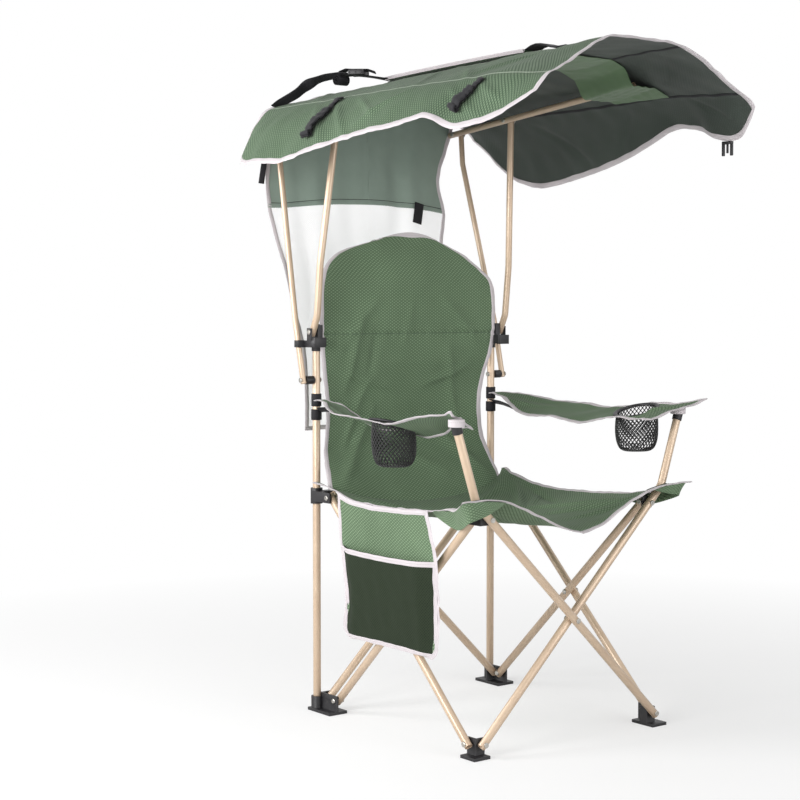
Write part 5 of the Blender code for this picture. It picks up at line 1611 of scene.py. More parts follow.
@dataclass
class Arm:
    """One armrest: its cloth, its strap round the post and its hanging cup."""

    side: Side
    cup_y: float
    cup_z: float
    tip_x: float
    slant: float
    outer_x: float = 0.3000
    width: float = 0.1050
    outer_z: float = 0.6410
    strap_z: float = 0.6420
    strap_half: float = 0.0130
    inner_drop: float = 0.0320
    sag: float = 0.0260
    cup_x: float = 0.2500
    hoop: float = 0.0440
    wire: float = 0.0050
    tilt: float = 0.26
    depth: float = 0.0850
    tip_back: float = 0.0360
    tip_rise: float = 0.010
    cord: float = 0.0008
    meshes: tuple[int, int] = (32, 17)
    cells: tuple[int, int] = (36, 124)
    # Net radius downwards, full in the middle and drawn in under the cup
    belly: tuple[tuple[float, float], ...] = (
        (0.0, 0.0400), (0.2, 0.0422), (0.55, 0.0424), (0.8, 0.0385), (0.92, 0.0300), (0.98, 0.0170),
        (1.0, 0.0050))

    # Each fold on the flat cloth: its start, its end, its half width and its height
    pulls: tuple[Fold, ...] = (
        ((-0.030, 0.020), (0.010, 0.200), 0.009, 0.0042), ((0.020, 0.040), (0.035, 0.230), 0.008, 0.0036),
        ((-0.020, 0.440), (0.030, 0.520), 0.008, 0.0040))
    # The strap's loose tail from the post's middle, on the right and on the left
    right_tail: tuple[Spot, ...] = (
        (-0.002, -0.012, -0.0200), (0.004, -0.022, -0.0190), (0.012, -0.034, -0.0180), (0.022, -0.046, -0.0190),
        (0.032, -0.056, -0.0230), (0.040, -0.064, -0.0270))
    left_tail: tuple[Spot, ...] = (
        (0.0, 0.0, -0.0190), (0.0054, -0.010, -0.0200), (0.0126, -0.022, -0.0225), (0.018, -0.036, -0.0270),
        (0.0234, -0.050, -0.0335), (0.027, -0.058, -0.0350))

    def point(self, u: float, v: float) -> Spot:
        """The arm by shares: outwards, and forwards from the post."""
        spread, tip = eased(0.0, 0.28, v), eased(0.90, 1.0, v)
        near, far = PLAN.post_x - self.strap_half, PLAN.post_x + self.strap_half
        inner = near + (self.outer_x - self.width - PLAN.post_x + self.strap_half) * spread
        outer = far + (self.outer_x - PLAN.post_x - self.strap_half) * spread
        outer += (self.tip_x - self.outer_x) * tip
        start = PLAN.post_y - PLAN.tube - PLAN.gap - 0.0010
        y = start + (PLAN.front_back_y - self.tip_back - start) * v + self.slant * (1 - u) * eased(0.60, 1.0, v)
        z = self.strap_z + (self.outer_z - self.strap_z) * v - self.inner_drop * (1 - u) * spread
        z -= self.sag * math.sin(math.pi * v) ** 2
        return self.side.value * (inner + (outer - inner) * u), y, z + self.tip_rise * tip * u**3

    def folds(self, x: np.ndarray, y: np.ndarray) -> np.ndarray:
        """Slack ripples along the arm, and a curled outer edge by the cup."""
        rise = creases(0.0020 * ripple(x, y, 0.09, 21 + self.side.value), x, y, self.pulls)
        return rise + 0.0034 * np.sin(y * 34) * np.clip(np.abs(x) / 0.05, 0, 1) ** 2

    def cloth(self) -> None:
        """The arm's cloth with its round hole and its binding."""
        label, sign = self.side.label, self.side.value
        sheet = Cloth(f"arm_cloth_{label}", self.point, self.cells, self.folds, flip=self.side is Side.LEFT)
        hole = (sign * self.cup_x, self.cup_y, self.hoop + 0.0010, self.hoop + 0.0010)
        made = settle(sheet.build(hole), ("cloth", "cloth"), f"{label}_hung", [f"armrest_{label}"])
        hem = sheet.bind_all(f"arm_binding_{label}", 0.0085, 14 + sign)
        settle(hem, "tape", f"{label}_hung", slot=f"armrest_{label}")
        sheet.declare(made, "stretched", [f"back_post_{label}", f"arm_post_cap_{label}"], [hem])

    def strap(self) -> None:
        """The black webbing round the back post that holds the arm's rear end, and its loose tail."""
        p, label = PLAN, self.side.label
        radius = p.tube + p.gap + 0.0012
        centre = np.array((self.side.value * p.post_x, p.post_y, self.strap_z))
        outward = ring(-math.pi / 2, 40)
        drop = self.right_tail if self.side is Side.RIGHT else self.left_tail
        halves = [0.0125, 0.0125, 0.0125, 0.0120, 0.0090, 0.0020]
        band = [centre + o * (radius + 0.0004) + np.array((0, 0, -0.0300)) for o in outward]
        hoop = [centre + o * radius for o in outward]
        line = [centre + np.array(d) for d in drop]
        for piece in (
            tape(f"arm_strap_{label}", hoop, outward, self.strap_half, 0.0018),
            tape(f"arm_strap_tail_{label}", line, [(0.25, 0.35, 0.9)] * len(line), halves, 0.0016),
            tape(f"arm_strap_wrap_{label}", band, outward, 0.0110, 0.0018),
        ):
            settle(piece, "webbing", f"{label}_back", slot=f"armrest_{label}")

    def cup(self) -> None:
        """The flanged hoop and its knotted net."""
        label, sign = self.side.label, self.side.value
        centre = Vector((sign * self.cup_x, self.cup_y, self.cup_z))
        deselect()
        bpy.ops.mesh.primitive_torus_add(
            location=centre, major_segments=72, minor_segments=14, major_radius=self.hoop,
            minor_radius=self.wire)
        hoop = bpy.context.object
        hoop.name = f"cup_hoop_{label}"
        bpy.ops.object.mode_set(mode="EDIT")
        bpy.ops.mesh.select_all(action="SELECT")
        bpy.ops.transform.resize(value=(1, 1, 0.62), center_override=centre)
        bpy.ops.object.mode_set(mode="OBJECT")
        # The hoop lies in the cloth, which slopes down towards the sitter
        hoop.data.transform(Matrix.Rotation(-sign * self.tilt, 4, "Y"))
        smooth(hoop, 60)
        settle(hoop, "nylon", f"{label}_hung", [f"cup_ring_{label}"])
        settle(self.net(centre), "net", f"{label}_hung", [f"cup_net_{label}"])

    def net(self, centre: Vector) -> Piece:
        """Diamond net from the hoop down to a rounded foot, drawn as cord."""
        around, down = self.meshes
        slope = self.side.value * math.tan(self.tilt)
        bm = bmesh.new()
        rows = []
        for k in range(down + 1):
            share = k / down
            radius = float(flowing(self.belly, share)[0])
            sunk = share if share < 0.8 else 0.8 + 0.2 * math.sin((share - 0.8) * 2.5 * math.pi)
            z = -0.0010 - (self.depth - 0.0040) * sunk
            row = []
            for n in range(around):
                turn = math.tau * (n + 0.5 * (k % 2)) / around
                slack = 1 + 0.020 * math.sin(3 * turn + 5 * share) * share
                x, y = radius * slack * math.cos(turn), radius * slack * math.sin(turn)
                row.append(bm.verts.new(centre + Vector((x, y, z + x * slope * (1 - share)))))
            rows.append(row)
        for k in range(down):
            step = 1 if k % 2 else -1
            for n in range(around):
                bm.edges.new((rows[k][n], rows[k + 1][n]))
                bm.edges.new((rows[k][n], rows[k + 1][(n + step) % around]))
        made = mesh_piece(f"cup_net_cord_{self.side.label}", bm)
        made.modifiers.new("cord", "SKIN")
        for vert in made.data.skin_vertices[0].data:
            vert.radius = (self.cord, self.cord)
        apply_all(made)
        smooth(made, 60)
        return made

    def loop(self) -> None:
        """The bound loop that hooks the arm's front corner over the top of its tube."""
        label = self.side.label
        low, high = (np.array(corner, float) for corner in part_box(f"arm_post_cap_{label}"))
        middle, reach = (low + high) / 2, float((high - low)[:2].max()) / 2 + 0.0012
        outward = ring(0.0, 32)
        band = [middle + o * reach + np.array((0, 0, (high[2] - middle[2]) * 0.55)) for o in outward]
        made = tape(f"arm_corner_loop_{label}", band, outward, float(high[2] - low[2]) * 0.24, 0.0018)
        settle(made, "tape", f"{label}_inner", slot=f"armrest_{label}")

    def build(self) -> None:
        """Hang the arm and its cup."""
        self.loop()
        self.cloth()
        self.strap()
        self.cup()


@dataclass
class SidePocket:
    """The cloth panel at the sitter's right with its mesh pouch."""

    x: float = 0.2472
    low: float = 0.1710
    # Share of the height, rear edge and front edge: it hangs askew, its foot corners rounded
    edges: tuple[Spot, ...] = (
        (0.00, 0.150, -0.112), (0.03, 0.163, -0.125), (0.08, 0.171, -0.131), (0.276, 0.164, -0.133),
        (0.50, 0.173, -0.131), (0.68, 0.183, -0.126), (0.80, 0.187, -0.115), (1.00, 0.192, -0.096))
    mouth: float = 0.3520
    bulge: float = 0.0150

    def top(self, y: float) -> float:
        """The height of the seat's edge, where the panel is sewn on."""
        return float(flowing(Seat().edge, y)[0]) - 0.0030

    def panel_point(self, u: float, v: float) -> Spot:
        """The panel by shares: forwards, and up from its foot."""
        rear, front = map(float, flowing(self.edges, v))
        y = rear + (front - rear) * u
        return -self.x, y, self.low + 0.008 * math.sin(math.pi * u) * (1 - v) + (self.top(y) - self.low) * v

    def pouch_point(self, u: float, v: float) -> Spot:
        """The pouch by shares: forwards, and up to its mouth, its edges under the panel's binding."""
        level = 0.018 + (self.mouth - self.low) / 0.275 * v * (1 - 0.018)
        rear, front = map(float, flowing(self.edges, level))
        rear, front = rear - 0.0045, front + 0.0045
        y = rear + (front - rear) * u
        reach = min(u, 1 - u) * (rear - front)
        full = 0.25 + 0.75 * math.sin(math.pi * min(0.5, 0.04 + v * 0.75))
        out = self.bulge * eased(0.004, 0.045, reach) * full
        z = self.low + 0.0045 + (self.mouth - self.low) * v - 0.004 * math.sin(math.pi * u) * v
        return -self.x - 0.0007 - out, y, z

    def build(self) -> None:
        """Hang the panel and sew on the pouch."""

        def slack(height: float, length: float, seed: int) -> Relief:
            """A relief that only swells."""
            return lambda x, y: height * ripple(x, y, length, seed)

        panel = Cloth("pocket_panel", self.panel_point, (62, 66), slack(0.0014, 0.08, 31), 0.0008, seed=4)
        made = settle(panel.build(), ("cloth", "cloth"), "right_hung", ["side_panel"])
        hem = panel.bind_all("pocket_binding", 0.0085, 17)
        settle(hem, "tape", "right_hung", slot="side_panel")
        swell = slack(0.0012, 0.05, 33)
        pouch = Cloth("pocket_mesh_pouch", self.pouch_point, (62, 44), swell, 0.0006, pucker=0.0, seed=5)
        bag = settle(pouch.build(), ("pocket", "pocket"), "right_hung", ["mesh_pocket"])
        rim = pouch.ribbon("pocket_mouth_tape", [(n / 50, 0.97) for n in range(51)], 0.0052, 0.0009)
        walk = pouch.walk((Edge.LOW, True), (Edge.START, False), (Edge.HIGH, False))
        edge = pouch.bind("pocket_pouch_binding", walk, 0.0085, 19)
        for piece in (rim, edge):
            settle(piece, "tape", "right_hung", slot="mesh_pocket")
        panel.declare(made, "hung", ["side_tube_outer_right"], [hem])
        pouch.declare(bag, "hung", ["side_panel"], [rim, edge])


@dataclass
class Canopy:
    """The canopy: one cover with hanging flaps, its band, its straps and the flap behind the sitter."""

    rear: float = 0.4270
    front: float = -0.4230
    seam_x: float = 0.2560
    ridge_x: float = 0.0900
    seam_z: float = 1.24305
    ridge_rise: float = 0.04357
    front_rise: float = 0.0255
    ridge_share: float = 0.2
    seam_share: float = 0.6
    flare: float = 0.1180
    drop: float = 0.1350
    corner_drop: float = 0.0100
    corner_reach: tuple[float, float] = (0.0220, -0.0020)
    band_front: float = -0.0880
    band_length: float = 0.1500
    cells: tuple[int, int] = (176, 196)
    # Share along, how far each flap flares and how far it hangs; the two sides hang differently
    right_hem: tuple[Spot, ...] = (
        (0.00, 0.50, 0.70), (0.04, 0.76, 0.84), (0.09, 0.94, 0.91), (0.17, 1.00, 0.94), (0.26, 0.98, 0.95),
        (0.31, 0.95, 0.92), (0.37, 0.89, 0.83), (0.443, 0.80, 0.73), (0.526, 0.72, 0.66), (0.61, 0.67, 0.62),
        (0.665, 0.61, 0.56), (0.715, 0.57, 0.53), (0.745, 0.55, 0.58), (0.77, 0.52, 0.66), (0.80, 0.50, 0.71),
        (0.84, 0.47, 0.70), (0.885, 0.43, 0.63), (0.93, 0.38, 0.53), (0.97, 0.32, 0.38), (1.00, 0.25, 0.25))
    left_hem: tuple[Spot, ...] = (
        (0.00, 0.40, 0.25), (0.03, 0.60, 0.48), (0.05, 0.72, 0.65), (0.08, 0.90, 0.88), (0.127, 0.97, 1.02),
        (0.182, 1.00, 1.07), (0.242, 0.98, 1.06), (0.333, 0.94, 0.98), (0.461, 0.80, 0.86), (0.553, 0.69, 0.74),
        (0.607, 0.66, 0.63), (0.665, 0.60, 0.51), (0.704, 0.58, 0.42), (0.74, 0.57, 0.40), (0.797, 0.55, 0.46),
        (0.85, 0.50, 0.58), (0.90, 0.45, 0.62), (0.945, 0.40, 0.56), (0.975, 0.33, 0.36), (1.00, 0.25, 0.18))

    # Each fold: where it starts and ends on the flat cloth, its half width and its height
    pulls: tuple[Fold, ...] = (
        ((-0.28, 0.20), (-0.42, 0.34), 0.010, 0.0046), ((-0.28, 0.27), (-0.41, 0.40), 0.008, 0.0040),
        ((-0.28, 0.33), (-0.36, 0.46), 0.007, 0.0036), ((-0.27, 0.52), (-0.38, 0.40), 0.010, 0.0044),
        ((-0.28, 0.62), (-0.36, 0.74), 0.008, 0.0040), ((-0.28, 0.70), (-0.34, 0.78), 0.007, 0.0034),
        ((-0.12, 0.06), (-0.26, 0.16), 0.010, 0.0044), ((-0.12, 0.40), (-0.27, 0.50), 0.010, 0.0036),
        ((-0.14, 0.52), (-0.27, 0.66), 0.009, 0.0036), ((-0.11, 0.72), (-0.25, 0.60), 0.010, 0.0040),
        ((0.28, 0.22), (0.42, 0.36), 0.011, 0.0040), ((0.27, 0.55), (0.38, 0.44), 0.011, 0.0038),
        ((0.28, 0.70), (0.34, 0.80), 0.009, 0.0034), ((0.10, 0.66), (0.25, 0.58), 0.010, 0.0040),
        ((0.10, 0.10), (0.24, 0.20), 0.010, 0.0036), ((0.11, 0.78), (0.22, 0.70), 0.010, 0.0036))

    def roof_z(self, x: float, v: float) -> float:
        """Height of the roof between its side seams."""
        ridge = self.ridge_rise + self.front_rise * v
        return self.seam_z + ridge * min(1.0, (self.seam_x - abs(x)) / (self.seam_x - self.ridge_x))

    def y(self, v: float) -> float:
        """Place along the roof, from its rear edge to its front edge."""
        return self.rear + (self.front - self.rear) * v

    def panel(self, u: float, v: float) -> Vector:
        """The cover's straight panels: flat top, slopes and flaps."""
        across = 2 * u - 1
        side, reach = (-1 if across < 0 else 1), abs(across)
        if reach <= self.seam_share:
            if reach <= self.ridge_share:
                x = self.ridge_x * reach / self.ridge_share
            else:
                wide, slope = self.seam_x - self.ridge_x, self.seam_share - self.ridge_share
                x = self.ridge_x + wide * (reach - self.ridge_share) / slope
            return Vector((side * x, self.y(v), self.roof_z(x, v)))
        hang = (reach - self.seam_share) / (1 - self.seam_share)
        flare, drop = flowing(self.right_hem if side < 0 else self.left_hem, v)
        x = self.seam_x + self.flare * flare * (hang + 0.10 * math.sin(math.pi * hang))
        z = self.seam_z - self.drop * drop * (hang - 0.06 * math.sin(math.pi * hang))
        return Vector((side * x, self.y(v), z))

    def point(self, u: float, v: float) -> Vector:
        """The cover by shares, its panels rounded into one curved sheet, its front corners drooping."""
        reach = min(u, 1 - u, 0.020)
        total = Vector((0, 0, 0))
        for step in (-1, -0.5, 0, 0.5, 1):
            total += self.panel(u + step * reach, v)
        place = total / 5
        corner = eased(0.82, 1.0, v) * eased(0.12, 0.25, abs(place.x))
        place.z -= self.corner_drop * corner
        reach = self.corner_reach[place.x >= 0]
        place.y -= reach * corner * (1 - eased(0.27, 0.31, abs(place.x)))
        return place

    def folds(self, x: np.ndarray, y: np.ndarray) -> np.ndarray:
        """Slack top, diagonal pulls down the flaps and a rippled hem."""
        rise = 0.0022 * ripple(x, y, 0.17, 41) + 0.0010 * ripple(x, y, 0.06, 43)
        hang = np.clip((np.abs(x) - 0.28) / 0.17, 0, 1)
        rise += 0.0030 * hang**1.5 * np.sin(y * 48 + 2.2 * np.sin(y * 9) + np.sign(x))
        return creases(rise, x, y, self.pulls)

    def cover(self) -> None:
        """The cover itself, bound all round, with its seam tapes."""
        sheet = Cloth("canopy_cloth", self.point, self.cells, self.folds, 0.0009, flip=True, pucker=0.0014)
        # The roof's finish is painted darker as shade
        made = settle(sheet.build(), ("roof", "coated"), "canopy", ["canopy_cover"])
        pieces = [(sheet.bind_all("canopy_binding", 0.0105, 23), "tape")]
        shares = (-self.seam_share, -self.ridge_share, self.ridge_share, self.seam_share)
        for number, share in enumerate(shares):
            path = [(0.5 + share / 2, n / 150) for n in range(2, 149)]
            seam = sheet.ribbon(f"canopy_seam_{number}", path, 0.0011, 0.0009, 0.0005)
            under = sheet.ribbon(f"canopy_seam_under_{number}", path, 0.0040, -0.0008, 0.0005)
            pieces += [(seam, "thread"), (under, "webbing")]
        sewn = [settle(piece, finish, "canopy", slot="canopy_cover") for piece, finish in pieces]
        gather(made, *sewn)
        sheet.declare(made, "stretched", ["canopy_rail_right", "canopy_rail_left"], sewn)
        self.sheet = sheet

    def band_point(self, u: float, v: float) -> Spot:
        """The pocket under the roof that takes the rails' front ends."""
        y = self.band_front - self.band_length * v
        share = (self.rear - y) / (self.rear - self.front)
        across = 2 * u - 1
        x = across * (self.seam_x - 0.0100)
        rail = PLAN.rail(y)
        under_roof = self.roof_z(x, share) - 0.0036
        under_rail = rail.z - PLAN.rail_tube - 0.0006 - 0.0010
        near = max(0.0, 1 - max(0.0, abs(abs(x) - rail.x) - 0.0270) / 0.0300)
        near = near * near * (3 - 2 * near)
        slack = -0.0060 * math.sin(math.pi * v) * (1 - near) * (1 - across**4)
        return x, y, under_roof + min(0.0, under_rail - under_roof) * near + slack - 0.0010

    def band(self) -> None:
        """Sew in the band."""

        def folds(x: np.ndarray, y: np.ndarray) -> np.ndarray:
            """Small gathers where the rails push into the pocket."""
            pull = np.exp(-(((np.abs(x) - 0.19) / 0.05) ** 2))
            return -0.0012 * np.abs(ripple(x, y, 0.05, 51)) - 0.0016 * pull * np.sin(x * 150 + y * 40) ** 2

        sheet = Cloth("canopy_band", self.band_point, (144, 36), folds, 0.0008, pucker=0.0)
        made = settle(sheet.build(), ("band", "band"), "canopy", ["canopy_pocket"])
        edges = []
        for name, row in (("rear", 0.02), ("front", 0.98)):
            path = [(n / 90, row) for n in range(1, 90)]
            seam = sheet.ribbon(f"canopy_band_seam_{name}", path, 0.0022, -0.0007, 0.0005)
            edges.append(settle(seam, "webbing", "canopy", slot="canopy_pocket"))
        gather(made, *edges)
        sheet.declare(made, "stretched", ["canopy_rail_right", "canopy_rail_left"], edges)

    def build(self) -> None:
        """Sew the canopy together."""
        self.cover()
        self.band()
        RearFlap(self).build()
        CanopyStraps(self).build()


@dataclass
class RearFlap:
    """The flap behind the sitter: cloth above, white mesh below, in two halves that can pass each other."""

    canopy: Canopy
    seam_z: float = 1.2330
    hem_z: float = 1.0400
    low_z: float = 0.5700
    # Height upwards and half the width there, outwards on each side
    right_edge: tuple[tuple[float, float], ...] = (
        (0.570, 0.178), (0.640, 0.174), (0.721, 0.178), (0.808, 0.197), (0.903, 0.219), (0.972, 0.243),
        (1.040, 0.260), (1.110, 0.264), (1.245, 0.244))
    left_edge: tuple[tuple[float, float], ...] = (
        (0.570, 0.178), (0.741, 0.186), (0.846, 0.196), (0.970, 0.208), (1.044, 0.216), (1.093, 0.200),
        (1.127, 0.204), (1.161, 0.218), (1.218, 0.240), (1.245, 0.246))

    def sheet(self, side: Side, name: str, upper: bool) -> Cloth:
        """One half of the flap, or of the mesh below it."""
        right = side is Side.RIGHT
        edge = self.right_edge if right else self.left_edge

        def hem(x: float) -> float:
            """Height of the seam between cloth and mesh, a little bowed."""
            return self.hem_z + 0.014 * (1 - min(1.0, abs(x) / 0.22) ** 2)

        def point(u: float, v: float) -> Spot:
            """The half by shares: across from the right, and downwards. The right one laps over the left."""
            across = (1.01 * u - 1) if right else u
            start, end = (self.seam_z, self.hem_z) if upper else (self.hem_z, self.low_z)
            guess = start + (end - start) * v
            x = across * float(flowing(edge, guess)[0])
            top = self.canopy.roof_z(x, 0.0) - 0.0020 if upper else hem(x) - 0.0003
            low = hem(x) if upper else self.low_z
            z = top + (low - top) * v
            behind = 0.0004 if right else 0.0
            return x, self.canopy.rear - 0.0040 - 0.0150 * (self.seam_z - z) / 0.6630 + behind, z

        def folds(x: np.ndarray, y: np.ndarray) -> np.ndarray:
            """Soft folds that hang straight down."""
            place = x + (-0.12 if right else 0.12)
            fade = np.sin(np.pi * np.clip(np.abs(place) / 0.25, 0, 1))
            swell = np.clip(y / 0.10, 0.15, 1) if upper else 1.0
            wave = np.sin(place * 47 + 0.8 * np.sin(y * 7)) + 0.5 * np.sin(place * 96 + 1.7)
            return 0.0046 * fade * wave * swell + 0.0016 * ripple(place, y, 0.12, 61)

        return Cloth(name, point, (62, 60), folds, 0.0007, flip=True, pucker=0.0008)

    def build(self) -> None:
        """Hang both halves with their bindings and tabs."""
        for side in Side:
            right, label, body = side is Side.RIGHT, side.label, RAIL_BODY[side]
            outer = Edge.LOW if right else Edge.HIGH
            upper = self.sheet(side, f"rear_flap_cloth_{label}", True)
            lower = self.sheet(side, f"rear_flap_mesh_{label}", False)
            flap, net = ["rear_flap"] if right else [], ["rear_mesh"] if right else []
            # The flap's cloth is painted paler for the light shining through it
            made = settle(upper.build(), ("lining", "lining"), body, flap, "rear_flap")
            mesh = settle(lower.build(), ("mesh", "mesh"), body, net, "rear_mesh")
            rim = upper.bind(f"rear_flap_edge_{label}", upper.walk((outer, False)), 0.0085, 71)
            foot = lower.walk((outer, False), (Edge.END, not right))
            mesh_rim = lower.bind(f"rear_mesh_edge_{label}", foot, 0.0085, 73)
            path = [n / 40 for n in range(41)]
            hem = upper.ribbon(f"rear_flap_hem_{label}", [(n, 0.985) for n in path], 0.0042, 0.0007, 0.0006)
            row = [(n, 0.955) for n in path]
            stitch = upper.ribbon(f"rear_flap_stitch_{label}", row, 0.0006, 0.0007, 0.0004)
            tab = self.tab(side, upper)
            for piece, finish in ((rim, "tape"), (hem, "lining"), (stitch, "webbing"), (tab, "webbing")):
                settle(piece, finish, body, slot="rear_flap")
            settle(mesh_rim, "tape", body, slot="rear_mesh")
            for piece in (made, rim, hem, stitch, tab, mesh, mesh_rim):
                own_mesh(piece)
            upper.declare(made, "hung", ["canopy_cover"], [rim, hem, stitch, tab])
            lower.declare(mesh, "hung", ["rear_flap"], [mesh_rim])

    def tab(self, side: Side, upper: Cloth) -> Piece:
        """A short end of black webbing sewn to the flap."""
        if side is Side.RIGHT:
            place, _ = upper.at(0.0, 0.60)
            start, step = (-0.004, -0.002, 0.026), (-0.002, 0.0, -0.0115)
            face, half = (-0.5, -0.86, 0.0), 0.0060
        else:
            place, _ = upper.at(0.60, 1.0)
            start, step = (0.006, -0.0030, 0.012), (-0.0022, -0.0010, -0.0090)
            face, half = (0.0, -1.0, 0.1), 0.0125
        line = [place + np.array(start) + np.array(step) * n for n in range(6)]
        return tape(f"rear_flap_tab_{side.label}", line, [face] * 6, half, 0.0016)


@dataclass
class CanopyStraps:
    """Everything of black webbing on the canopy: carrying straps, flap straps and the hung buckle."""

    canopy: Canopy
    web: float = 0.0190
    pad: float = 0.0340
    pad_x: float = 0.0550
    buckle_turn: float = 0.65
    under_drop: float = 0.0048
    hump_lifts: tuple[float, ...] = (
        0.0070, 0.0105, 0.0150, 0.0165, 0.0150, 0.0110, 0.0060, 0.0035, 0.0030, 0.0028)
    # The loose webbing at the rear, from the roof's corner up to its buckle, on the left side
    arc: tuple[Spot, ...] = (
        (0.2450, 0.4180, 1.2480), (0.2380, 0.4040, 1.2560), (0.2250, 0.3705, 1.2705), (0.2120, 0.3529, 1.2860),
        (0.2050, 0.3340, 1.2950), (0.1900, 0.3150, 1.3026), (0.1750, 0.2950, 1.3060), (0.1600, 0.2760, 1.3070),
        (0.1400, 0.2640, 1.3060), (0.1100, 0.2540, 1.3040), (0.0700, 0.2480, 1.3010))

    # The webbing's tail beyond the buckle, from the buckle's middle, on the left side
    tail: tuple[Spot, ...] = (
        (0.0240, 0.0300, 0.0030), (0.0160, 0.0190, 0.0080), (0.0060, 0.0080, 0.0070),
        (-0.0020, -0.0040, 0.0065), (-0.0140, -0.0160, 0.0060), (-0.0240, -0.0260, 0.0010))

    def roof(self, x: float, v: float, lift: float) -> np.ndarray:
        """A place over the roof."""
        return np.array((x, self.canopy.y(v), self.canopy.roof_z(x, v) + lift))

    def shoulder_strap(self, side: Side) -> None:
        """Webbing arching up from the rear corner, a padded middle with piping, and a hump in front."""
        sign, label = side.value, side.label
        knots = np.array([(sign * x, y, z) for x, y, z in self.arc])
        table = [(n, *knot) for n, knot in enumerate(knots)]
        line = [flowing(table, t) for t in np.linspace(0, len(knots) - 1, 61)]
        bow = [math.sin(math.pi * n / 60) for n in range(61)]
        lean = [(-sign * 0.2 - sign * 0.5 * b, -0.35 * b, 0.9) for b in bow]
        web = tape(f"strap_webbing_rear_{label}", line, lean, 0.0125, 0.0018)
        settle(web, "webbing", "canopy", [f"shoulder_strap_{label}"])
        x = sign * self.pad_x
        pad_line = [self.roof(x, 0.205 + 0.505 * n / 48, 0.0065 + 0.0035 * (1 - n / 48)) for n in range(49)]
        shape = [self.pad * (0.55 + 0.45 * math.sin(math.pi * (n + 1) / 50) ** 0.3) for n in range(49)]
        up = [(0.0, 0.03, 1.0)] * 49
        pad = tape(f"strap_pad_{label}", pad_line, up, shape, 0.0070)
        fill = pad.modifiers.new("fill", "SUBSURF")
        fill.levels = fill.render_levels = 1
        apply_all(pad)
        settle(pad, "roof", "canopy", slot=f"shoulder_strap_{label}")
        below = [p - np.array((0, 0, self.under_drop)) for p in pad_line]
        under = tape(f"strap_webbing_under_{label}", below, up, self.web, 0.0016)
        pieces = [(under, "webbing")]
        for edge in (-1, 1):
            border = [p + np.array((edge * (h - 0.0004), 0, 0.0006)) for p, h in zip(pad_line, shape)]
            word = "outer" if edge == sign else "inner"
            pieces.append((tape(f"strap_piping_{label}_{word}", border, up, 0.0030, 0.0060), "tape"))
        hump = [self.roof(x, 0.690 + 0.016 * n, lift) for n, lift in enumerate(self.hump_lifts)]
        front = tape(f"strap_webbing_front_{label}", hump, [(0.0, 0.1, 1.0)] * len(hump), self.web, 0.0030)
        pieces += [(front, "webbing"), *self.ladder_lock(side, knots[8])]
        gather(web, pad)
        for piece, finish in pieces:
            gather(settle(piece, finish, "canopy", slot=f"shoulder_strap_{label}"))

    def roll(
        self,
        name: str,
        middle: np.ndarray,
        way: np.ndarray,
        up: np.ndarray,
        turns: float,
        size: float,
        half: float,
    ) -> Piece:
        """Webbing rolled up on itself.

        Args:
            name: the piece's name.
            middle: the roll's middle.
            way: one way across the roll.
            up: the other way across it.
            turns: how often it goes round.
            size: its outer radius.
            half: half the webbing's width.

        Returns:
            The roll.
        """
        count = int(turns * 20)
        angles = [math.tau * turns * n / count for n in range(count + 1)]
        outward = [way * math.cos(turn) + up * math.sin(turn) for turn in angles]
        places = [middle + out * (0.0022 + (size - 0.0022) * n / count) for n, out in enumerate(outward)]
        return tape(name, places, outward, half, 0.0016)

    def ladder_lock(self, side: Side, end: np.ndarray) -> list[tuple[Piece, str]]:
        """The sliding buckle between the webbing and the pad, with the webbing's folded tail.

        Args:
            side: which strap.
            end: the webbing's place there.

        Returns:
            Each piece and its finish.
        """
        label, sign = side.label, side.value
        middle = Vector(end) + Vector((0, 0, 0.0040))
        made = None
        for y in (-0.0130, 0.0, 0.0130):
            made = moulded_bar(made, middle + Vector((0, y, 0)), (0.0420, 0.0060, 0.0085), 0.0016)
        for x in (-0.0180, 0.0180):
            made = moulded_bar(made, middle + Vector((x, 0, 0.0008)), (0.0060, 0.0340, 0.0100), 0.0018)
        made.name = f"strap_buckle_{label}"
        turn = Matrix.Rotation(-sign * self.buckle_turn, 4, "Z")
        turn = Matrix.Translation(middle) @ turn @ Matrix.Translation(-middle)
        made.data.transform(made.matrix_world.inverted() @ turn @ made.matrix_world)
        smooth(made, 40)
        start = np.array(middle) + np.array((sign * 0.0240, 0.0260, -0.0120))
        across, up = np.array((0.0, 1.0, 0.0)), np.array((0.0, 0.0, 1.0))
        roll = self.roll(f"strap_roll_{label}", start, across, up, 2.4, 0.0140, 0.0140)
        fold = [np.array(middle) + np.array((sign * x, y, z)) for x, y, z in self.tail]
        tail = tape(f"strap_tail_{label}", fold, [(0.0, 0.1, 1.0)] * len(fold), 0.0125, 0.0018)
        return [(made, "nylon"), (roll, "webbing"), (tail, "webbing")]

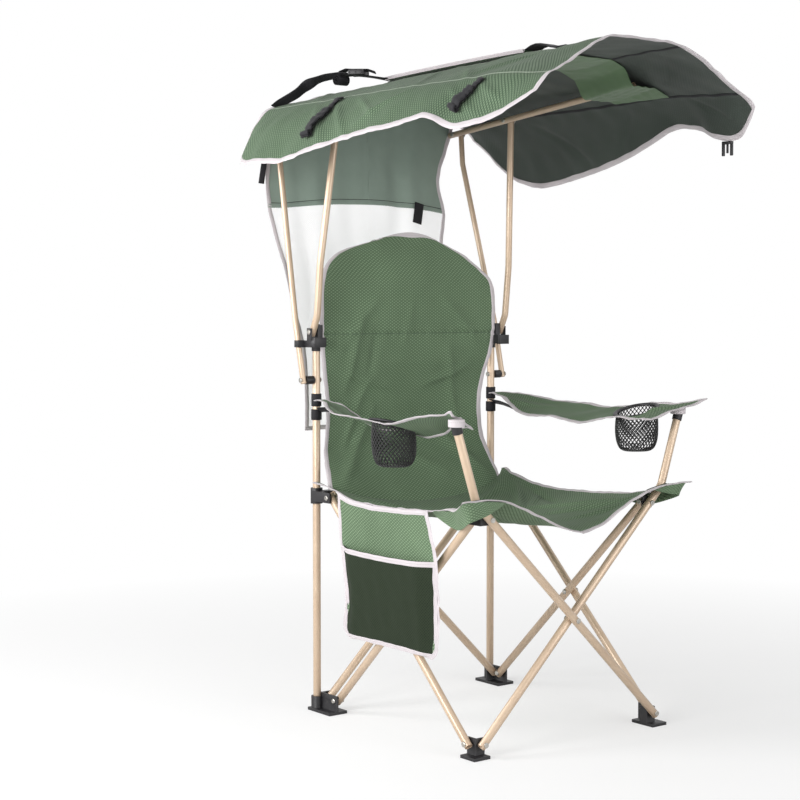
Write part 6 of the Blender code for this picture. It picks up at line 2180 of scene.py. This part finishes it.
    def flap_strap(self, place: str, top: tuple[float, float], low: tuple[float, float]) -> None:
        """A short strap down the near flap, gathered at its head and rolled up at its end."""
        places, normals, halves = [], [], []
        for n in range(25):
            t = n / 24
            reach, share = top[0] + (low[0] - top[0]) * t, top[1] + (low[1] - top[1]) * t
            spot, normal = self.canopy.sheet.at(0.5 - reach / 2, share)
            places.append(spot + normal * (0.0034 + 0.0022 * math.sin(t * 21) ** 2 + 0.0030 * t))
            normals.append(normal)
            halves.append(0.0080 + 0.0040 * t + 0.0012 * math.sin(t * 17))
        strap = tape(f"flap_strap_webbing_{place}", places, normals, halves, 0.0042)
        settle(strap, "webbing", "canopy", [f"flap_strap_{place}"])
        lifted = [p + n * 0.0034 for p, n in zip(places[8:], normals[8:])]
        over = tape(f"flap_strap_fold_{place}", lifted, normals[8:], [h + 0.0015 for h in halves[8:]], 0.0030)
        way = places[-1] - places[-2]
        way /= np.linalg.norm(way)
        middle = places[-1] + normals[-1] * 0.0040
        roll = self.roll(f"flap_strap_roll_{place}", middle, way, normals[-1], 2.0, 0.0064, 0.0125)
        for piece in (over, roll):
            settle(piece, "webbing", "canopy", slot=f"flap_strap_{place}")
        gather(strap, over, roll)

    def hung_buckle(self) -> None:
        """The side-release half that hangs at the far flap's front corner."""
        spot, _ = self.canopy.sheet.at(1.0, 0.895)
        top = Vector(spot)
        made = moulded_bar(None, top + Vector((0, 0, -0.0045)), (0.0060, 0.0260, 0.0060), 0.0012)
        for y, wide, long in ((-0.0105, 0.0060, 0.0240), (0.0, 0.0036, 0.0190), (0.0105, 0.0060, 0.0240)):
            made = moulded_bar(made, top + Vector((0, y, -0.0060 - long / 2)), (0.0042, wide, long), 0.0010)
        made.name = "flap_buckle"
        smooth(made, 40)
        settle(made, "nylon", "left_rail", ["flap_buckle_left"])

    def build(self) -> None:
        """Fit every strap."""
        for side in Side:
            self.shoulder_strap(side)
        self.flap_strap("rear", (0.63, 0.332), (0.90, 0.336))
        self.flap_strap("front", (0.66, 0.834), (0.88, 0.800))
        self.hung_buckle()


@dataclass
class Studio:
    """The pale floor, the soft light and the camera."""

    eye: Spot = (-2.26811, -2.62948, 0.84230)
    forward: Spot = (0.61043, 0.79006, -0.05646)
    lens: float = 78.07
    white: tuple[float, ...] = (1.0, 1.0, 1.0, 1.0)

    def camera(self) -> None:
        """The camera at the photograph's place and angle."""
        data = bpy.data.cameras.new("camera")
        data.lens, data.sensor_width = self.lens, 36.0
        made = bpy.data.objects.new("camera", data)
        made.location = self.eye
        made.rotation_euler = Vector(self.forward).to_track_quat("-Z", "Y").to_euler()
        bpy.context.scene.collection.objects.link(made)
        bpy.context.scene.camera = made

    def floor(self) -> None:
        """A wide pale floor that keeps the chair's shadow."""
        deselect()
        bpy.ops.mesh.primitive_plane_add(size=24.0, location=(0, 0, 0))
        made = bpy.context.object
        made.name = "floor"
        paint = bpy.data.materials.new("pale_floor")
        drawing = Drawing(paint)
        add, shader = drawing.add, drawing.tree.nodes["Principled BSDF"]
        drawing.fill(shader, {"Base Color": self.white, "Roughness": 0.9})
        glow = add("Emission", {"Color": self.white, "Strength": 1.0})
        # Within a metre of the chair the floor shows its shadow; further out it fades into the backdrop
        away = add("VectorMath", [add("TexCoord").outputs["Object"]], operation="LENGTH")
        fade = add("MapRange", [away.outputs["Value"], 0.5, 2.0, 0.55, 1.0])
        share = add("Math", [add("LightPath").outputs["Is Camera Ray"], fade], operation="MULTIPLY")
        mix = add("MixShader", [share, shader, glow])
        drawing.fill(drawing.tree.nodes["Material Output"], {"Surface": mix})
        made.data.materials.append(paint)

    def world(self) -> None:
        """Even light all round, white where the camera, metal or glass sees it."""
        world = bpy.data.worlds.new("studio")
        bpy.context.scene.world = world
        drawing = Drawing(world)
        drawing.tree.nodes.clear()
        add = drawing.add
        path = add("LightPath").outputs
        seen = add("Math", [path["Is Camera Ray"], path["Is Glossy Ray"]], operation="MAXIMUM")
        clear = add("Math", [seen, path["Is Transmission Ray"]], operation="MAXIMUM")
        # The walls of the studio are brighter than its ceiling
        way = add("SeparateXYZ", [add("TexCoord").outputs["Generated"]])
        level = add("MapRange", [way.outputs[2], 0.0, 0.85, 0.95, 0.10])
        dim = add("Background", {"Color": self.white, "Strength": level})
        bright = add("Background", {"Color": self.white, "Strength": 1.0})
        add("OutputWorld", [add("MixShader", [clear, dim, bright])]).is_active_output = True

    def lamp(self, name: str, place: Sequence[float], aim: Sequence[float], size: float, power: float) -> None:
        """One large soft box that looks at a point."""
        data = bpy.data.lights.new(name, "AREA")
        data.shape, data.size, data.energy = "SQUARE", size, power
        made = bpy.data.objects.new(name, data)
        made.location = place
        made.rotation_euler = (Vector(aim) - Vector(place)).to_track_quat("-Z", "Y").to_euler()
        bpy.context.scene.collection.objects.link(made)

    def build(self) -> None:
        """Set up the studio."""
        self.camera()
        self.floor()
        self.world()
        self.lamp("key", (-3.0, -0.7, 1.15), (0, 0, 0.85), 1.1, 58.0)
        self.lamp("rim", (-2.0, 1.0, 1.45), (-0.25, 0.3, 1.15), 1.0, 36.0)
        self.lamp("front", (0.6, -3.4, 1.4), (0, 0, 0.6), 2.2, 52.0)
        bpy.context.scene.view_settings.view_transform = "Standard"


def main() -> None:
    """Build the chair from its frame outwards, then dress the studio."""
    logging.basicConfig(level=logging.INFO, format="%(name)s: %(message)s")
    Studio().build()
    SteelFrame().build()
    Corners().build()
    Seat().build()
    Back().build()
    Arm(Side.RIGHT, 0.0020, 0.60805, tip_x=0.3220, slant=0.0900).build()
    Arm(Side.LEFT, -0.1530, 0.62305, tip_x=0.3400, slant=0.0150, sag=0.0170, inner_drop=0.0270).build()
    SidePocket().build()
    Canopy().build()


if __name__ == "__main__":
    main()
